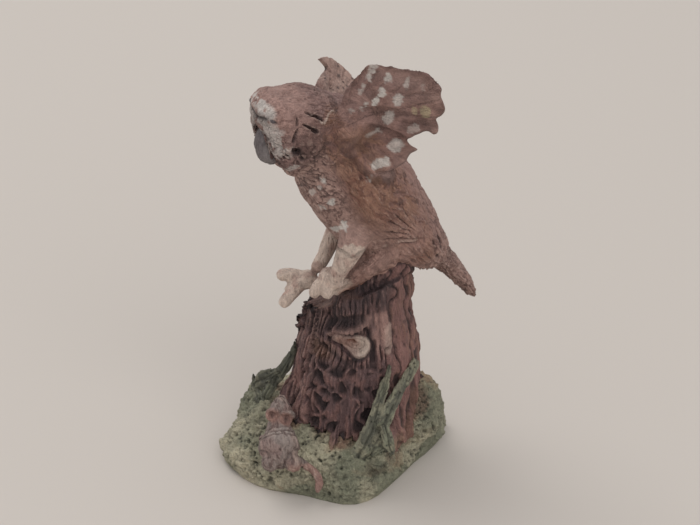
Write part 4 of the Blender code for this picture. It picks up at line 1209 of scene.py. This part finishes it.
def make_leaf(name):
    """Blades pressed flat against the stump, with a midrib, veins and pricks."""
    bm = bmesh.new()
    way, blades = LEAVES[name]
    way = Vector(way).normalized()
    blades = [(trace(name, places), half_widths) for places, half_widths in blades]
    for line, half_widths in blades:
        limb(bm, line, half_widths, [0.12 + w * 0.22 for w in half_widths], (line[-1] - line[0]).cross(way), steps=5)
    leaf = Clay(f"{name}_blade", bm, 0.07, 1)
    points = leaf.points
    drift, brush = partial(fields, points), leaf.brush
    best = np.full(len(points), FAR)
    across, along = np.zeros((2, len(points)))
    for line, half_widths in blades:
        side = np.array((line[-1] - line[0]).cross(way).normalized())
        run = 0.0
        for p, q, wide in zip(line, line[1:], half_widths):
            far, off = distance(points, p, q), points - np.array(p)
            across = np.where(far < best, off @ side / wide, across)
            along = np.where(far < best, run + off @ np.array((q - p).normalized()), along)
            best = np.minimum(best, far)
            run += (q - p).length
    leaf.flow = np.c_[across * 0.6, points @ np.array(way), along]
    veins = fields(leaf.flow, 3.4, 70, 2, (1, 1, 0.2))
    rib = fade(np.abs(across + drift(0.5, 71) * 0.25), 0.05, 0.22)
    pricks = fade(cells(points, 2.3, 11)[0], 0.14, 0.30)
    rim = ramp(np.abs(across), 0.7, 1.0)
    leaf.push(-0.09 * rib + 0.11 * veins - 0.10 * pricks + 0.10 * drift(0.9, 72) + 0.03 * rim)
    brush(LEAF)
    brush(FERN, ramp(veins + drift(0.6, 73), -0.1, 0.4) * 0.8)
    brush(MOSS, ramp(drift(0.9, 74), 0.05, 0.4) * 0.6)
    brush(MOSS, rim * 0.5)
    brush(PINE, most(rib * 0.55, pricks * 0.75))
    if name in ("leaf_left", "leaf_spike"):
        brush(PINE, 0.35 + 0.3 * ramp(points[:, 2], 6.5, 8.5))
    return leaf


leaf_paint = painted("leaf_paint", PINE, MOSS, 0.6, 4.0, (1, 1, 0.25), depth=6.0, bump=0.3)
for name in LEAVES:
    make_leaf(name).finish(leaf_paint, "leaf", name)


# ---- The mouse --------------------------------------------------------------------------------------------

def make_mouse():
    bm = bmesh.new()
    lay_nodes(bm, ("mouse",), 0.03)
    ears = trace("mouse", ((28, 43, 88), (35, 68, 82)))
    away = Vector((0.75, -0.35, 0.35)).normalized()
    for ear in ears:
        egg(bm, ear + away * 0.05, (0.56, 0.60, 0.2), facing(away))
    for places, radii in (  # haunches, then shoulders
        (((62, 12, 40), (70, 55, 36)), (0.8, 0.75, 0.8)), (((30, 22, 50), (36, 78, 44)), (0.5, 0.45, 0.5)),
    ):
        for place in trace("mouse", places):
            egg(bm, place, radii)
    mouse = Clay("mouse_body", bm, 0.07, 1)
    points = mouse.points
    x, y, z = points.T
    drift, brush = partial(fields, points), mouse.brush
    rear, nose = trace("mouse", ((75, 30, 40), (15, 60, 95)))
    spine = np.array(nose - rear)
    spine /= np.linalg.norm(spine)
    along = (points - np.array(rear)) @ spine
    mouse.flow = points - np.outer(points @ spine, spine) * 0.8
    hairs = fields(mouse.flow, 3.2, 80, 3)
    neck = between(along, 2.4, 3.4, 0.3) * ramp(np.cos(along * 15), 0.0, 0.7)
    haunch, flank = [distance(points, place) for place in trace("mouse", ((70, 55, 40), (55, 18, 45)))]
    crease = most(between(haunch, 0.95, 1.08, 0.06), between(flank, 0.95, 1.05, 0.06) * 0.8)
    cup = most(*[near(points, ear + away * 0.4, 0.15, 0.48) for ear in ears])
    shell = most(*[near(points, ear + away * 0.2, 0.45, 0.8) for ear in ears])
    tail = ramp(x, 4.7, 5.0) * fade(z, 3.2, 3.9)
    mouse.push((1 - tail) * (0.10 * hairs - 0.12 * neck - 0.10 * crease) - 0.22 * cup + tail * 0.03 * np.cos(y * 12))
    brush(FUR)
    brush(PLUM, ramp(drift(0.7, 81), -0.1, 0.4) * 0.5)
    brush(SAND, ramp(drift(0.45, 82) + hairs * 0.4, 0.0, 0.5) * 0.5)
    # Painted highlight: a pale patch on the upper body over the haunch.
    brush(CHALK, near(points, inside("mouse", 52, 42, 62), 0.4, 1.7) * 0.35)
    brush(UMBER, ramp(-hairs, 0.15, 0.45) * (1 - shell) * (1 - tail) * 0.6)
    # Dark rings round the neck, and painted shade on the lower body, darker towards the bottom.
    brush(UMBER, most(neck * 0.55, fade(z - 0.25 * along, 1.6, 3.0) * (1 - tail) * 0.6))
    brush(PINK, most(shell * 0.9, tail * 0.8))
    brush(SAND, tail * ramp(hairs, 0.0, 0.4) * 0.6)
    brush(SOOT, most(cup * 0.5, crease * (1 - tail) * 0.45))
    return mouse


mouse_paint = painted("mouse_paint", UMBER, SAND, 0.7, 5.0, (1, 1, 1), bump=0.3)
make_mouse().finish(mouse_paint, "mouse", "mouse")


# ---- Light, floor and camera ------------------------------------------------------------------------------

AIM = Vector((0.43, -0.45, 19.0)) * MILLIMETRE
VIEW_AZIMUTH = math.radians(65)
VIEW_ELEVATION = math.radians(30)
VIEW_DISTANCE = 0.2
LENS_LENGTH = 123.43  # millimetres, for a sensor as wide as small film
SENSOR_WIDTH = 36
STUDIO_WHITE = (1.0, 0.98, 0.96)
ROOM_GREY = (0.80, 0.79, 0.78, 1)
ROOM_LIGHT = 0.78


def make_floor():
    bm = bmesh.new()
    bmesh.ops.create_grid(bm, x_segments=8, y_segments=8, size=1.5)
    floor = put("floor", bm)
    coat = Coat("floor_paper", 0.85, 0.2)
    tone = coat.speckle(coat.places((0.004, 0.004, 0.004)), 1.0, 2)
    coat.link("Base Color", coat.mix((0.5 + tone).clamp(), (0.60, 0.555, 0.515, 1), (0.62, 0.575, 0.535, 1)))
    floor.data.materials.append(coat.material)


def add_light(name, place, size, power):
    lamp = bpy.data.lights.new(name, "AREA")
    lamp.shape = "DISK"
    lamp.size = size
    lamp.energy = power
    lamp.color = STUDIO_WHITE
    holder = put(name, lamp)
    holder.location = place
    holder.rotation_euler = (Vector(place) - AIM).to_track_quat("Z", "Y").to_euler()


def add_camera():
    towards = Vector((
        math.sin(VIEW_AZIMUTH) * math.cos(VIEW_ELEVATION),
        -math.cos(VIEW_AZIMUTH) * math.cos(VIEW_ELEVATION),
        math.sin(VIEW_ELEVATION),
    ))
    lens = bpy.data.cameras.new("camera")
    lens.lens = LENS_LENGTH
    lens.sensor_width = SENSOR_WIDTH
    lens.clip_start = 0.01
    camera = put("camera", lens)
    camera.location = AIM + towards * VIEW_DISTANCE
    camera.rotation_euler = towards.to_track_quat("Z", "Y").to_euler()
    bpy.context.scene.camera = camera


def add_world():
    world = bpy.data.worlds.new("studio")
    world.use_nodes = True
    background = world.node_tree.nodes["Background"]
    background.inputs["Color"].default_value = ROOM_GREY
    background.inputs["Strength"].default_value = ROOM_LIGHT
    bpy.context.scene.world = world


add_camera()
make_floor()
add_light("key", (-0.24, -0.10, 0.40), 0.34, 0.62)
add_light("fill", (0.42, 0.02, 0.34), 0.50, 0.75)
add_world()
bpy.context.scene.view_settings.view_transform = "Standard"
